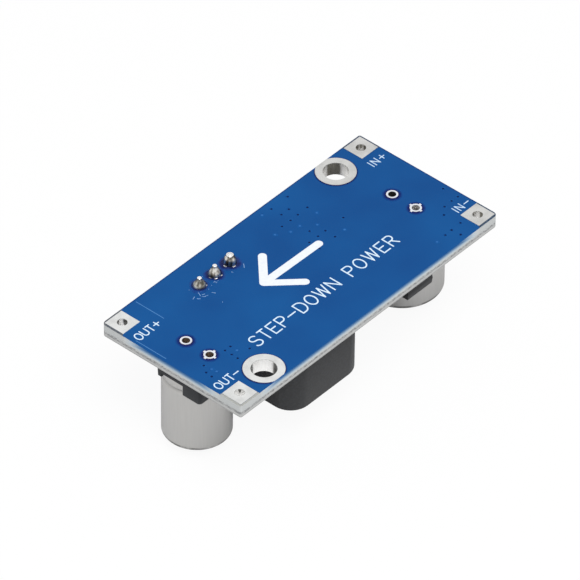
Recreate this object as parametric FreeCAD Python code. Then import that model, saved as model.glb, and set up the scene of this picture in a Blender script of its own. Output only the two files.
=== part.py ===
import FreeCAD, Part
import math
import os

# A small adjustable step-down converter board, seen with its solder side up and its parts hanging below.
# Lengths are in millimetres. While the pieces are drawn, x runs from the output end to the input end,
# y from the negative edge to the positive edge, and z = 0 is the upper face of the bare board.
# Every finished piece is then moved so that the origin is the middle of the outline at its lowest point.

# bare board and its tinned copper
BOARD_T = 1.6
BOARD_CORNER_R = 0.25
ROUNDER_CORNER_R = 0.6   # the OUT+ and IN- corners
BARREL_WALL = 0.16       # wall of the tinned barrel in each drilled hole
LAND_T = 0.08            # tinned copper standing proud of the upper face
UNDER_LAND_T = 0.05      # tinned copper standing proud of the lower face
LAND_MARGIN = 0.1        # how far a land shows round the terminal that sits on it

# electrolytic capacitors; the base's corners on the positive side are cut
OUTPUT_CAN_R, OUTPUT_BASE_SIDE, OUTPUT_BASE_CUT, OUTPUT_POST = 4.0, 8.3, 2.1, 2.6
INPUT_CAN_R, INPUT_BASE_SIDE, INPUT_BASE_CUT, INPUT_POST = 4.9, 10.3, 2.5, 3.1
OUTPUT_BASE_FROM_EDGE, INPUT_BASE_FROM_EDGE = 6.05, 4.29
CAN_DEPTH = 10.4         # from the board's lower face to the flat end of the can
CAN_EDGE, CAN_EDGE_BULGE = 0.38, 0.27      # rolled edge round the flat end: its size, and how full it is
CAN_FIT = 0.05           # gap between the can and the posts round it
CRIMP_DEPTH, CRIMP_W, CRIMP_FROM_BASE = 0.16, 0.62, 1.05
ROLL_IN, ROLL_W = 0.3, 0.25
SCORE_W, SCORE_DEPTH, SCORE_SHARE = 0.24, 0.1, 1.1
BASE_T, BASE_GAP, BASE_CORNER_R = 0.5, 0.05, 0.45
POST_SQUARE, POST_CUT = 1.3, 0.5     # posts below the plate, at the square and at the cut corners
FOOT_W, FOOT_T, FOOT_OUT = 0.9, 0.3, 0.7
OUTPUT_FEET_APART, INPUT_FEET_APART = 2.8, 5.2

# shielded power inductor
COIL_SIDE, COIL_CORNER_R, COIL_DEPTH = 12.06, 2.6, 7.0
COIL_FROM_EDGE = 0.87
COIL_BORE_R, DRUM_R, DRUM_HUB_R = 4.95, 4.65, 2.3
DRUM_FLANGE_T, DRUM_RECESS, WINDING_FIT = 1.1, 0.2, 0.25
ADHESIVE_T, ADHESIVE_SLOPE = 0.8, 0.15
HEADER_T, COIL_EDGE = 0.35, 0.12
COIL_TAB_W, COIL_TAB_T, COIL_TAB_L = 4.8, 0.2, 2.4

# multi-turn trimmer standing near the positive edge
PIN_PITCH, PIN_R = 2.54, 0.25
PIN_HOLE_R, PIN_RING_R = 0.45, 0.87
PIN_TIPS = (1.21, 1.38, 1.31)        # height of the clipped pins above the board
JOINT_TOP_R = (0.28, 0.29, 0.42)     # radius of the solder at each pin's tip
JOINT_WAIST_R = (0.62, 0.64, 0.69)   # and at its waist
JOINT_TOP_T, JOINT_FOOT_IN, JOINT_WAIST = 0.3, 0.08, 0.45
TRIM_L, TRIM_W, TRIM_H = 9.53, 4.83, 10.03
TRIM_STANDOFF, TRIM_FOOT_L, TRIM_FOOT_W, TRIM_FOOT_IN = 0.3, 0.8, 0.4, 0.1
TRIM_WALL, TRIM_CORNER_R, RESIN_T, RESIN_RECESS = 0.45, 0.2, 1.3, 0.2
TRIM_FROM_COIL_MIDDLE = -1.18
SCREW_R, SCREW_FIT, SCREW_END_GAP, SCREW_EDGE = 1.095, 0.05, 0.05, 0.12
SCREW_OUT, SCREW_IN = 1.27, 2.0
SCREW_FROM_END = 1.30
SLOT_W, SLOT_DEPTH = 0.56, 0.76

# five-lead regulator lying on its metal tab
REG_W, REG_L, REG_H = 10.2, 8.7, 4.4
REG_SEAM, REG_DRAW_BACK, REG_DRAW_FRONT = 2.6, 0.25, 0.3
REG_TAB_REACH, REG_TAB_T, REG_TAB_IN, REG_TAB_UNDER = 1.4, 1.27, 0.1, 7.5
REG_TAB_CORNER, REG_TAB_NOTCH_R = 0.8, 0.35
REG_DIMPLE_R, REG_DIMPLE_DEPTH, REG_DIMPLE_IN = 0.7, 0.1, 1.7
REG_LEAD_PITCH, REG_LEAD_W, REG_LEAD_T, REG_LEAD_BEND_R = 1.7, 0.8, 0.5, 0.3
REG_LEAD_REACH, REG_LEAD_KNEE, REG_LEAD_DROP, REG_LEAD_IN = 4.85, 1.1, 0.75, 0.5
REG_FROM_EDGE = 0.85     # end of the tab from the positive edge

# moulded rectifier diode at the negative edge
DIODE_L, DIODE_W, DIODE_H, DIODE_SEAM = 4.3, 2.6, 2.05, 1.3
DIODE_DRAW_FRONT, DIODE_DRAW_BACK = 0.08, 0.12
DIODE_FROM_EDGE, DIODE_FROM_REG_MIDDLE = 0.58, 3.37
DIODE_LEAD_W, DIODE_LEAD_T, DIODE_LEAD_OUT, DIODE_LEAD_UNDER = 1.45, 0.2, 0.28, 1.1
DIODE_LEAD_BEND_R = 0.18

# chip parts
CHIP_L, CHIP_W = 1.6, 0.8
RESISTOR_H, SMALL_CAPACITOR_H = 0.45, 0.8
BYPASS_L, BYPASS_W, BYPASS_H = 2.0, 1.25, 0.9
CHIP_END, CHIP_SKIN = 0.35, 0.03
CHIPS_FROM_REG, RESISTOR_FROM_EDGE, CHIP_STEP = 1.6, 2.25, 3.0
BYPASS_FROM_EDGE, BYPASS_FROM_REG_MIDDLE = 2.35, -2.45
CHIP_LAND_OUT, CHIP_LAND_IN = 0.4, 0.5

# solder climbing the ends of the surface-mounted parts: height and reach
TAB_SOLDER, LEAD_SOLDER, COIL_SOLDER = (0.6, 0.4), (0.35, 0.4), (0.5, 0.5)
DIODE_SOLDER, FOOT_SOLDER, CHIP_SOLDER = (0.35, 0.35), (0.25, 0.3), (0.27, 0.3)
LAND_OUT = 0.5           # land showing beyond a terminal's tip, under its solder

# clearances between the parts in their row from the output end to the input end
OUTPUT_BASE_FROM_END, INPUT_BASE_FROM_END = 0.05, 0.20
CAN_TO_COIL, COIL_TO_REG, REG_TO_CAN = 1.28, 0.66, 0.35
COIL_TO_TRIMMER, TRIMMER_FROM_EDGE = 1.445, 1.395

# square wire terminals in the four corners: the centre's distance from both of its edges
TERMINAL_SQUARE, TERMINAL_IN, TERMINAL_HOLE_R = 2.75, 1.62, 0.6

# two screw holes on a diagonal, with round lands that the long edges just cut
SCREW_HOLE_R, SCREW_LAND_R, LAND_FROM_EDGE = 1.5, 2.37, 0.05
OUTPUT_SCREW_FROM_END, OUTPUT_SCREW_FROM_EDGE = 6.38, 2.29
INPUT_SCREW_FROM_END, INPUT_SCREW_FROM_EDGE = 6.65, 2.23

# spare holes for capacitors with wire leads, a pair under each can
SPARE_HOLE_R, SPARE_RING_R, SPARE_PITCH = 0.475, 0.69, 3.5
SPOKE_W, SPOKE_LENGTH = 0.28, 1.74
OUTPUT_SPARE_SHIFT, INPUT_SPARE_SHIFT = (-0.12, -0.21), (-0.03, -0.14)

# the row of parts along the board, and the board's size, which follows from it
output_x = OUTPUT_BASE_FROM_END + OUTPUT_BASE_SIDE / 2
coil_x0 = OUTPUT_BASE_FROM_END + OUTPUT_BASE_SIDE + CAN_TO_COIL
coil_x = coil_x0 + COIL_SIDE / 2
reg_x0 = coil_x0 + COIL_SIDE + COIL_TO_REG
reg_x = reg_x0 + REG_W / 2
reg_x1 = reg_x0 + REG_W
input_x = reg_x1 + REG_TO_CAN + INPUT_BASE_SIDE / 2
board_l = input_x + INPUT_BASE_SIDE / 2 + INPUT_BASE_FROM_END
coil_y = COIL_FROM_EDGE + COIL_SIDE / 2
trim_y0 = COIL_FROM_EDGE + COIL_SIDE + COIL_TO_TRIMMER
trim_y = trim_y0 + TRIM_W / 2
board_w = trim_y0 + TRIM_W + TRIMMER_FROM_EDGE
output_y = OUTPUT_BASE_FROM_EDGE + OUTPUT_BASE_SIDE / 2
input_y = INPUT_BASE_FROM_EDGE + INPUT_BASE_SIDE / 2
trim_x = coil_x + TRIM_FROM_COIL_MIDDLE

under = -BOARD_T                    # lower face of the bare board
seat = under - UNDER_LAND_T         # face on which surface-mounted terminals sit
case_top = under - TRIM_STANDOFF
case_end = case_top - TRIM_H
lowest = case_end - SCREW_OUT
BEYOND = BOARD_T                    # how far a cutting tool runs past the face that it opens
STRAIGHT = 0.99                     # share of its length that an upright edge rises
V = FreeCAD.Vector
pieces = {}


def box(x0, x1, y0, y1, z0, z1):
    return Part.makeBox(x1 - x0, y1 - y0, z1 - z0, V(x0, y0, z0))


def rod(x, y, z0, z1, r):
    return Part.makeCylinder(r, z1 - z0, V(x, y, z0))


def upright(shape):
    """The edges of a shape that run straight up."""
    return [e for e in shape.Edges if len(e.Vertexes) == 2 and e.BoundBox.ZLength > STRAIGHT * e.Length]


def rounded(x0, x1, y0, y1, z0, z1, r):
    block = box(x0, x1, y0, y1, z0, z1)
    return block.makeFillet(r, upright(block))


def prism(points, direction):
    """Solid made by pushing a closed outline of (x, y, z) points along a vector."""
    wire = Part.makePolygon([V(*p) for p in points] + [V(*points[0])])
    return Part.Face(wire).extrude(V(*direction))


def turned(x, y, outline):
    """Solid of revolution about the upright axis through (x, y) of a closed outline of (radius, z) points."""
    wire = Part.makePolygon([V(x + r, y, z) for r, z in outline] + [V(x + outline[0][0], y, outline[0][1])])
    return Part.Face(wire).revolve(V(x, y, 0), V(0, 0, 1), 360)


def tapered(x0, x1, y0, y1, z0, z1, draw0, draw1):
    """Block whose side faces lean in by draw0 at z0 and by draw1 at z1."""
    rings = []
    for z, d in ((z0, draw0), (z1, draw1)):
        corners = [V(x0 + d, y0 + d, z), V(x1 - d, y0 + d, z), V(x1 - d, y1 - d, z), V(x0 + d, y1 - d, z)]
        rings.append(Part.makePolygon(corners + [corners[0]]))
    return Part.makeLoft(rings, True, True)


def bent_strip(path, thickness):
    """Closed outline of a strip of even thickness that follows an open path of 2D points."""
    normals = []
    for (a, b), (c, d) in zip(path, path[1:]):
        run = math.hypot(c - a, d - b)
        normals.append(((b - d) / run, (c - a) / run))
    left, right = [], []
    for i, (a, b) in enumerate(path):
        near = normals[max(i - 1, 0):i + 1]
        nx = sum(n[0] for n in near)
        ny = sum(n[1] for n in near)
        stretch = thickness / 2 / (nx * near[0][0] + ny * near[0][1])
        left.append((a + nx * stretch, b + ny * stretch))
        right.append((a - nx * stretch, b - ny * stretch))
    return left + right[::-1]


def solder_on_end(x0, x1, y0, y1, side, size):
    """Wedge of solder that climbs a terminal's end face; side names the way the face looks."""
    height, reach = size
    if side in ("+x", "-x"):
        x, s = (x1, 1) if side == "+x" else (x0, -1)
        return prism([(x, y0, seat), (x + s * reach, y0, seat), (x, y0, seat - height)], (0, y1 - y0, 0))
    y, s = (y1, 1) if side == "+y" else (y0, -1)
    return prism([(x0, y, seat), (x0, y + s * reach, seat), (x0, y, seat - height)], (x1 - x0, 0, 0))


# The bare board: one flat glass-fibre panel, routed to its outline, with a drilled hole for every barrel.
terminals = {
    "input_positive_terminal": (board_l - TERMINAL_IN, board_w - TERMINAL_IN),
    "input_negative_terminal": (board_l - TERMINAL_IN, TERMINAL_IN),
    "output_positive_terminal": (TERMINAL_IN, board_w - TERMINAL_IN),
    "output_negative_terminal": (TERMINAL_IN, TERMINAL_IN),
}
screw_holes = {
    "output": (OUTPUT_SCREW_FROM_END, OUTPUT_SCREW_FROM_EDGE),
    "input": (board_l - INPUT_SCREW_FROM_END, board_w - INPUT_SCREW_FROM_EDGE),
}
pins = [(trim_x + k * PIN_PITCH, trim_y) for k in (-1, 0, 1)]
spares = {}
for end, x, y, shift in (("output", output_x, output_y, OUTPUT_SPARE_SHIFT),
                         ("input", input_x, input_y, INPUT_SPARE_SHIFT)):
    for sign in (-1, 1):
        spares[(end, sign)] = (x + shift[0], y + shift[1] + sign * SPARE_PITCH / 2)
board = box(0, board_l, 0, board_w, under, 0)
for radius, diagonal in ((BOARD_CORNER_R, 1), (ROUNDER_CORNER_R, -1)):
    corners = [e for e in upright(board) if diagonal * (e.CenterOfMass.x - board_l / 2)
               * (e.CenterOfMass.y - board_w / 2) > 0]
    board = board.makeFillet(radius, corners)
for places, radius in ((terminals.values(), TERMINAL_HOLE_R), (screw_holes.values(), SCREW_HOLE_R),
                       (pins, PIN_HOLE_R), (spares.values(), SPARE_HOLE_R)):
    for x, y in places:
        board = board.cut(rod(x, y, under - BEYOND, BEYOND, radius + BARREL_WALL))
pieces["circuit_board"] = board

# Wire terminals: a square land on each face joined by a tinned barrel.
for name, (x, y) in terminals.items():
    h = TERMINAL_SQUARE / 2
    square = box(x - h, x + h, y - h, y + h, 0, LAND_T).fuse(box(x - h, x + h, y - h, y + h, seat, under))
    square = square.fuse(rod(x, y, seat, LAND_T, TERMINAL_HOLE_R + BARREL_WALL))
    pieces[name] = square.cut(rod(x, y, seat - BEYOND, BEYOND, TERMINAL_HOLE_R)).removeSplitter()

# Screw-hole lands: round, with a tinned barrel, and trimmed where the long edge of the board runs past.
kept = box(LAND_FROM_EDGE, board_l - LAND_FROM_EDGE, LAND_FROM_EDGE, board_w - LAND_FROM_EDGE, seat, LAND_T)
for end, (x, y) in screw_holes.items():
    ring = rod(x, y, 0, LAND_T, SCREW_LAND_R).fuse(rod(x, y, seat, under, SCREW_LAND_R)).common(kept)
    ring = ring.fuse(rod(x, y, seat, LAND_T, SCREW_HOLE_R + BARREL_WALL))
    ring = ring.cut(rod(x, y, seat - BEYOND, BEYOND, SCREW_HOLE_R))
    pieces[end + "_screw_hole_land"] = ring.removeSplitter()

# Spare lead eyelets: a ring above and a barrel through; the negative ones have four short relief spokes.
for end in ("input", "output"):
    eyelets = []
    for sign in (-1, 1):
        x, y = spares[(end, sign)]
        eyelet = rod(x, y, 0, LAND_T, SPARE_RING_R).fuse(rod(x, y, under, LAND_T, SPARE_HOLE_R + BARREL_WALL))
        if sign < 0:
            for angle in (0, 90):
                spoke = box(-SPOKE_LENGTH / 2, SPOKE_LENGTH / 2, -SPOKE_W / 2, SPOKE_W / 2, 0, LAND_T)
                spoke.rotate(V(0, 0, 0), V(0, 0, 1), angle)
                spoke.translate(V(x, y, 0))
                eyelet = eyelet.fuse(spoke)
        eyelets.append(eyelet.cut(rod(x, y, under - BEYOND, BEYOND, SPARE_HOLE_R)).removeSplitter())
    pieces[end + "_spare_eyelets"] = Part.makeCompound(eyelets)

# Trimmer eyelets, pins and joints: clipped pins stick up through three tinned holes, each in its own cone
# of solder.
eyelets, wires, joints = [], [], []
for (x, y), tip, top_r, waist_r in zip(pins, PIN_TIPS, JOINT_TOP_R, JOINT_WAIST_R):
    ring = rod(x, y, 0, LAND_T, PIN_RING_R).fuse(rod(x, y, seat, LAND_T, PIN_HOLE_R + BARREL_WALL))
    eyelets.append(ring.cut(rod(x, y, seat - BEYOND, BEYOND, PIN_HOLE_R)).removeSplitter())
    wires.append(rod(x, y, case_top - RESIN_RECESS, tip, PIN_R))
    foot_r = PIN_RING_R - JOINT_FOOT_IN
    neck = tip - JOINT_TOP_T
    waist = LAND_T + (neck - LAND_T) * JOINT_WAIST
    joints.append(turned(x, y, [(PIN_R, tip), (PIN_R, seat), (PIN_HOLE_R, seat), (PIN_HOLE_R, LAND_T),
                                (foot_r, LAND_T), (waist_r, waist), (top_r, neck), (top_r, tip)]))
pieces["trimmer_eyelets"] = Part.makeCompound(eyelets)
pieces["trimmer_pins"] = Part.makeCompound(wires)
pieces["trimmer_solder_joints"] = Part.makeCompound(joints)

# Trimmer body: a tall plastic case, closed by cast resin on the board side, with the adjusting screw
# standing out of its far end close to one side.
tx0, tx1 = trim_x - TRIM_L / 2, trim_x + TRIM_L / 2
ty0, ty1 = trim_y - TRIM_W / 2, trim_y + TRIM_W / 2
resin_top = case_top - RESIN_RECESS
resin_end = resin_top - RESIN_T
case = rounded(tx0, tx1, ty0, ty1, case_end, case_top, TRIM_CORNER_R)
case = case.cut(box(tx0 + TRIM_WALL, tx1 - TRIM_WALL, ty0 + TRIM_WALL, ty1 - TRIM_WALL,
                    resin_end, case_top + BEYOND))
for x in (tx0 + TRIM_FOOT_IN, tx1 - TRIM_FOOT_IN - TRIM_FOOT_L):
    for y in (ty0 + TRIM_FOOT_IN, ty1 - TRIM_FOOT_IN - TRIM_FOOT_W):
        case = case.fuse(box(x, x + TRIM_FOOT_L, y, y + TRIM_FOOT_W, case_top, under))
screw_x, screw_top = tx0 + SCREW_FROM_END, case_end + SCREW_IN
case = case.cut(rod(screw_x, trim_y, case_end - BEYOND, screw_top, SCREW_R + SCREW_FIT))
pieces["trimmer_case"] = case.removeSplitter()
pieces["trimmer_resin"] = box(tx0 + TRIM_WALL, tx1 - TRIM_WALL, ty0 + TRIM_WALL, ty1 - TRIM_WALL,
                              resin_end, resin_top)
screw = rod(screw_x, trim_y, lowest, screw_top - SCREW_END_GAP, SCREW_R)
screw = screw.makeChamfer(SCREW_EDGE, [e for e in screw.Edges if e.BoundBox.ZMax < lowest + SCREW_EDGE])
slot = box(screw_x - SCREW_R, screw_x + SCREW_R, trim_y - SLOT_W / 2, trim_y + SLOT_W / 2,
           lowest - BEYOND, lowest + SLOT_DEPTH)
pieces["trimmer_screw"] = screw.cut(slot)


def base_outline(x, y, side, cut, z0, z1):
    """Square of a capacitor's base between two heights, its two corners on the positive side cut off."""
    h = side / 2
    corners = [(x - h, y - h), (x + h, y - h), (x + h, y + h - cut), (x + h - cut, y + h),
               (x - h + cut, y + h), (x - h, y + h - cut)]
    shape = prism([(a, b, z0) for a, b in corners], (0, 0, z1 - z0))
    square_end = [e for e in upright(shape) if e.BoundBox.YMax < y - h + BASE_CORNER_R]
    return shape.makeFillet(BASE_CORNER_R, square_end)


# Electrolytic capacitors: a black moulded base with corner posts round the can, a crimped aluminium can
# with a scored vent in its flat end, and two flat feet that leave the base to either side.
base_top = seat - BASE_GAP
plate = base_top - BASE_T
can_end = under - CAN_DEPTH
for end, x, y, can_r, side, cut, post in (
        ("output", output_x, output_y, OUTPUT_CAN_R, OUTPUT_BASE_SIDE, OUTPUT_BASE_CUT, OUTPUT_POST),
        ("input", input_x, input_y, INPUT_CAN_R, INPUT_BASE_SIDE, INPUT_BASE_CUT, INPUT_POST)):
    apart = OUTPUT_FEET_APART if end == "output" else INPUT_FEET_APART
    h = side / 2
    base = base_outline(x, y, side, cut, plate, base_top)
    posts = base_outline(x, y, side, cut, plate - POST_SQUARE, plate)
    posts = posts.cut(box(x - h, x + h, y, y + h, plate - POST_SQUARE, plate - POST_CUT))
    posts = posts.cut(box(x - h, x + h, y - h + post, y + h - post, plate - POST_SQUARE, plate))
    posts = posts.cut(box(x - h + post, x + h - post, y - h, y + h, plate - POST_SQUARE, plate))
    base = base.fuse(posts.cut(rod(x, y, plate - POST_SQUARE, plate, can_r + CAN_FIT)))
    feet = []
    for s in (-1, 1):
        y0, y1 = sorted((y + s * apart / 2, y + s * (h + FOOT_OUT)))
        foot = box(x - FOOT_W / 2, x + FOOT_W / 2, y0, y1, seat - FOOT_T, seat)
        feet.append(foot)
        base = base.cut(foot)
    pieces[end + "_capacitor_base"] = base.removeSplitter()
    pieces[end + "_capacitor_feet"] = Part.makeCompound(feet)
    crimp = plate - CRIMP_FROM_BASE
    bulge = CAN_EDGE - CAN_EDGE_BULGE
    can = turned(x, y, [(0, plate), (can_r - ROLL_IN, plate), (can_r, plate - ROLL_W), (can_r, crimp),
                        (can_r - CRIMP_DEPTH, crimp - CRIMP_W / 2), (can_r, crimp - CRIMP_W),
                        (can_r, can_end + CAN_EDGE), (can_r - bulge, can_end + bulge),
                        (can_r - CAN_EDGE, can_end), (0, can_end)])
    for angle in (45, 135):
        length = can_r * SCORE_SHARE
        score = box(-length / 2, length / 2, -SCORE_W / 2, SCORE_W / 2,
                    can_end - BEYOND, can_end + SCORE_DEPTH)
        score.rotate(V(0, 0, 0), V(0, 0, 1), angle)
        score.translate(V(x, y, 0))
        can = can.cut(score)
    pieces[end + "_capacitor_can"] = can

# Power inductor: a ferrite drum wound with copper wire, glued into a square ferrite sleeve on a thin header,
# with a flat tab at each end of the header.
coil_end = under - COIL_DEPTH
tab_back = seat - COIL_TAB_T
sleeve_top = tab_back - HEADER_T
h = COIL_SIDE / 2
sleeve = rounded(coil_x - h, coil_x + h, coil_y - h, coil_y + h, coil_end, sleeve_top, COIL_CORNER_R)
sleeve = sleeve.cut(rod(coil_x, coil_y, coil_end - BEYOND, sleeve_top + BEYOND, COIL_BORE_R))
sleeve = sleeve.makeChamfer(COIL_EDGE, [e for e in sleeve.Edges if e.BoundBox.ZMax < coil_end + COIL_EDGE])
pieces["inductor_sleeve"] = sleeve
header = rounded(coil_x - h, coil_x + h, coil_y - h, coil_y + h, sleeve_top, tab_back, COIL_CORNER_R)
tabs = []
for s in (-1, 1):
    x0, x1 = sorted((coil_x + s * h, coil_x + s * (h - COIL_TAB_L)))
    w0, w1 = sorted((coil_x + s * h, coil_x + s * (h - COIL_TAB_T)))
    upturn = box(w0, w1, coil_y - COIL_TAB_W / 2, coil_y + COIL_TAB_W / 2, sleeve_top, tab_back)
    header = header.cut(upturn)
    flat = box(x0, x1, coil_y - COIL_TAB_W / 2, coil_y + COIL_TAB_W / 2, tab_back, seat)
    tabs.append(flat.fuse(upturn).removeSplitter())
pieces["inductor_header"] = header
pieces["inductor_tabs"] = Part.makeCompound(tabs)
inner_flange = sleeve_top - DRUM_FLANGE_T
drum_end = coil_end + DRUM_RECESS
outer_flange = drum_end + DRUM_FLANGE_T
pieces["inductor_drum"] = turned(coil_x, coil_y, [
    (0, sleeve_top), (DRUM_R, sleeve_top), (DRUM_R, inner_flange), (DRUM_HUB_R, inner_flange),
    (DRUM_HUB_R, outer_flange), (DRUM_R, outer_flange), (DRUM_R, drum_end), (0, drum_end)])
winding = rod(coil_x, coil_y, outer_flange, inner_flange, DRUM_R - WINDING_FIT)
pieces["inductor_winding"] = winding.cut(rod(coil_x, coil_y, outer_flange, inner_flange, DRUM_HUB_R))
bead = drum_end + DRUM_RECESS
pieces["inductor_adhesive"] = turned(coil_x, coil_y, [
    (DRUM_R, bead + ADHESIVE_T), (COIL_BORE_R, bead + ADHESIVE_T), (COIL_BORE_R, bead),
    (DRUM_R, bead + ADHESIVE_SLOPE)])

# Regulator: a moulded body on a thick metal tab, with five leads bent down to their lands.
body_y1 = board_w - REG_FROM_EDGE - REG_TAB_REACH
body_y0 = body_y1 - REG_L
tab_y1 = board_w - REG_FROM_EDGE
tip_y = body_y0 - REG_LEAD_REACH
tab = box(reg_x0 + REG_TAB_IN, reg_x1 - REG_TAB_IN, body_y1 - REG_TAB_UNDER, tab_y1, seat - REG_TAB_T, seat)
for s, x in ((1, reg_x0 + REG_TAB_IN), (-1, reg_x1 - REG_TAB_IN)):
    tab = tab.cut(prism([(x, tab_y1, seat - REG_TAB_T), (x + s * REG_TAB_CORNER, tab_y1, seat - REG_TAB_T),
                         (x, tab_y1 - REG_TAB_CORNER, seat - REG_TAB_T)], (0, 0, REG_TAB_T)))
    tab = tab.cut(rod(x, body_y1, seat - REG_TAB_T, seat, REG_TAB_NOTCH_R))
pieces["regulator_tab"] = tab
seam = seat - REG_SEAM
body = tapered(reg_x0, reg_x1, body_y0, body_y1, seam, seat - BASE_GAP, 0, REG_DRAW_BACK)
body = body.fuse(tapered(reg_x0, reg_x1, body_y0, body_y1, seat - REG_H, seam, REG_DRAW_FRONT, 0)).cut(tab)
body = body.cut(rod(reg_x0 + REG_DIMPLE_IN, body_y0 + REG_DIMPLE_IN,
                    seat - REG_H, seat - REG_H + REG_DIMPLE_DEPTH, REG_DIMPLE_R))
knee_y = body_y0 - REG_LEAD_KNEE
foot_z = seat - REG_LEAD_T / 2
profile = bent_strip([(body_y0 + REG_LEAD_IN, seam), (knee_y, seam), (knee_y - REG_LEAD_DROP, foot_z),
                      (tip_y, foot_z)], REG_LEAD_T)
lead_xs = [reg_x + k * REG_LEAD_PITCH - REG_LEAD_W / 2 for k in range(-2, 3)]
leads = []
for x in lead_xs:
    lead = prism([(x, a, b) for a, b in profile], (REG_LEAD_W, 0, 0))
    bends = [e for e in lead.Edges if e.BoundBox.XLength > REG_LEAD_W / 2
             and tip_y + REG_LEAD_T < e.BoundBox.YMin < body_y0]
    lead = lead.makeFillet(REG_LEAD_BEND_R, bends)
    leads.append(lead)
    body = body.cut(lead)
pieces["regulator_body"] = body
pieces["regulator_leads"] = Part.makeCompound(leads)

# Rectifier diode: a moulded block with a parting line and two ribbon leads tucked under it.
diode_x = reg_x + DIODE_FROM_REG_MIDDLE
diode_y = DIODE_FROM_EDGE + DIODE_W / 2
x0, x1 = diode_x - DIODE_L / 2, diode_x + DIODE_L / 2
y0, y1 = diode_y - DIODE_W / 2, diode_y + DIODE_W / 2
parting = seat - DIODE_SEAM
body = tapered(x0, x1, y0, y1, seat - DIODE_H, parting, DIODE_DRAW_FRONT, 0)
body = body.fuse(tapered(x0, x1, y0, y1, parting, seat - DIODE_LEAD_T, 0, DIODE_DRAW_BACK))
leads, diode_tips = [], []
for s, end_x in ((-1, x0), (1, x1)):
    path = [(end_x - s * DIODE_LEAD_UNDER / 2, parting), (end_x + s * DIODE_LEAD_OUT, parting),
            (end_x + s * DIODE_LEAD_OUT, seat - DIODE_LEAD_T / 2),
            (end_x - s * DIODE_LEAD_UNDER, seat - DIODE_LEAD_T / 2)]
    outline = [(a, diode_y - DIODE_LEAD_W / 2, b) for a, b in bent_strip(path, DIODE_LEAD_T)]
    lead = prism(outline, (0, DIODE_LEAD_W, 0))
    tip_x = end_x + s * (DIODE_LEAD_OUT + DIODE_LEAD_T / 2)
    outside = [e for e in lead.Edges if e.BoundBox.YLength > DIODE_LEAD_W / 2
               and abs(e.BoundBox.Center.x - tip_x) < DIODE_LEAD_T / 2]
    lead = lead.makeFillet(DIODE_LEAD_BEND_R, outside)
    leads.append(lead)
    diode_tips.append((s, tip_x))
    body = body.cut(lead)
pieces["diode_body"] = body
pieces["diode_leads"] = Part.makeCompound(leads)

# Chip parts: a ceramic block with a tinned cap on each end. Two lie in line between the trimmer and the
# regulator, and the input bypass lies at the negative edge in front of the regulator's leads.
chip_x = reg_x0 - CHIPS_FROM_REG
resistor_y = board_w - RESISTOR_FROM_EDGE
bypass_x = reg_x + BYPASS_FROM_REG_MIDDLE
chips = {
    "feedback_resistor": (CHIP_L, CHIP_W, RESISTOR_H, chip_x, resistor_y, "y"),
    "feedback_capacitor": (CHIP_L, CHIP_W, SMALL_CAPACITOR_H, chip_x, resistor_y - CHIP_STEP, "y"),
    "input_bypass_capacitor": (BYPASS_L, BYPASS_W, BYPASS_H, bypass_x, BYPASS_FROM_EDGE, "x"),
}
chip_ends = []
for name, (length, width, height, x, y, axis) in chips.items():
    a, b = (length / 2, width / 2) if axis == "x" else (width / 2, length / 2)
    whole = box(x - a, x + a, y - b, y + b, seat - height, seat)
    core = box(x - a + CHIP_SKIN, x + a - CHIP_SKIN, y - b + CHIP_SKIN, y + b - CHIP_SKIN,
               seat - height + CHIP_SKIN, seat - CHIP_SKIN)
    ka, kb = (a - CHIP_END, b) if axis == "x" else (a, b - CHIP_END)
    middle = box(x - ka, x + ka, y - kb, y + kb, seat - height, seat)
    pieces[name + "_body"] = core
    pieces[name + "_ends"] = whole.cut(middle).cut(core)
    for s in (-1, 1):
        sign = "+" if s > 0 else "-"
        ex, ey = (x + s * a, y) if axis == "x" else (x, y + s * b)
        chip_ends.append((ex, ey, width / 2, axis, s, sign + axis))

# Lands on the component side, and the solder that holds the surface-mounted parts to them.
lands, solder = [], []


def add_land(x0, x1, y0, y1):
    lands.append(box(x0, x1, y0, y1, seat, under))


for end, x, y, side, apart in (("output", output_x, output_y, OUTPUT_BASE_SIDE, OUTPUT_FEET_APART),
                               ("input", input_x, input_y, INPUT_BASE_SIDE, INPUT_FEET_APART)):
    for s in (-1, 1):
        tip = y + s * (side / 2 + FOOT_OUT)
        hole_x, hole_y = spares[(end, s)]
        inner = min(apart / 2, abs(hole_y - y) - SPARE_RING_R)
        y0, y1 = sorted((y + s * inner, tip + s * LAND_OUT))
        half = max(FOOT_W / 2 + LAND_MARGIN, SPARE_RING_R + abs(hole_x - x))
        add_land(x - half, x + half, y0, y1)
        lands[-1] = lands[-1].cut(rod(hole_x, hole_y, seat - BEYOND, under + BEYOND, SPARE_HOLE_R))
        side_name = "+y" if s > 0 else "-y"
        solder.append(solder_on_end(x - FOOT_W / 2, x + FOOT_W / 2, tip, tip, side_name, FOOT_SOLDER))
half = COIL_TAB_W / 2
for s, side in ((-1, "-x"), (1, "+x")):
    tip = coil_x + s * COIL_SIDE / 2
    x0, x1 = sorted((tip + s * LAND_OUT, tip - s * COIL_TAB_L))
    add_land(x0, x1, coil_y - half - LAND_MARGIN, coil_y + half + LAND_MARGIN)
    solder.append(solder_on_end(tip, tip, coil_y - half, coil_y + half, side, COIL_SOLDER))
add_land(reg_x0, reg_x1, body_y1 - REG_TAB_UNDER, tab_y1 + LAND_OUT)
solder.append(solder_on_end(reg_x0 + REG_TAB_IN + REG_TAB_CORNER, reg_x1 - REG_TAB_IN - REG_TAB_CORNER,
                            tab_y1, tab_y1, "+y", TAB_SOLDER))
for x in lead_xs:
    add_land(x - LAND_MARGIN, x + REG_LEAD_W + LAND_MARGIN, tip_y - LAND_OUT, knee_y - REG_LEAD_DROP)
    solder.append(solder_on_end(x, x + REG_LEAD_W, tip_y, tip_y, "-y", LEAD_SOLDER))
half = DIODE_LEAD_W / 2
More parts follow.
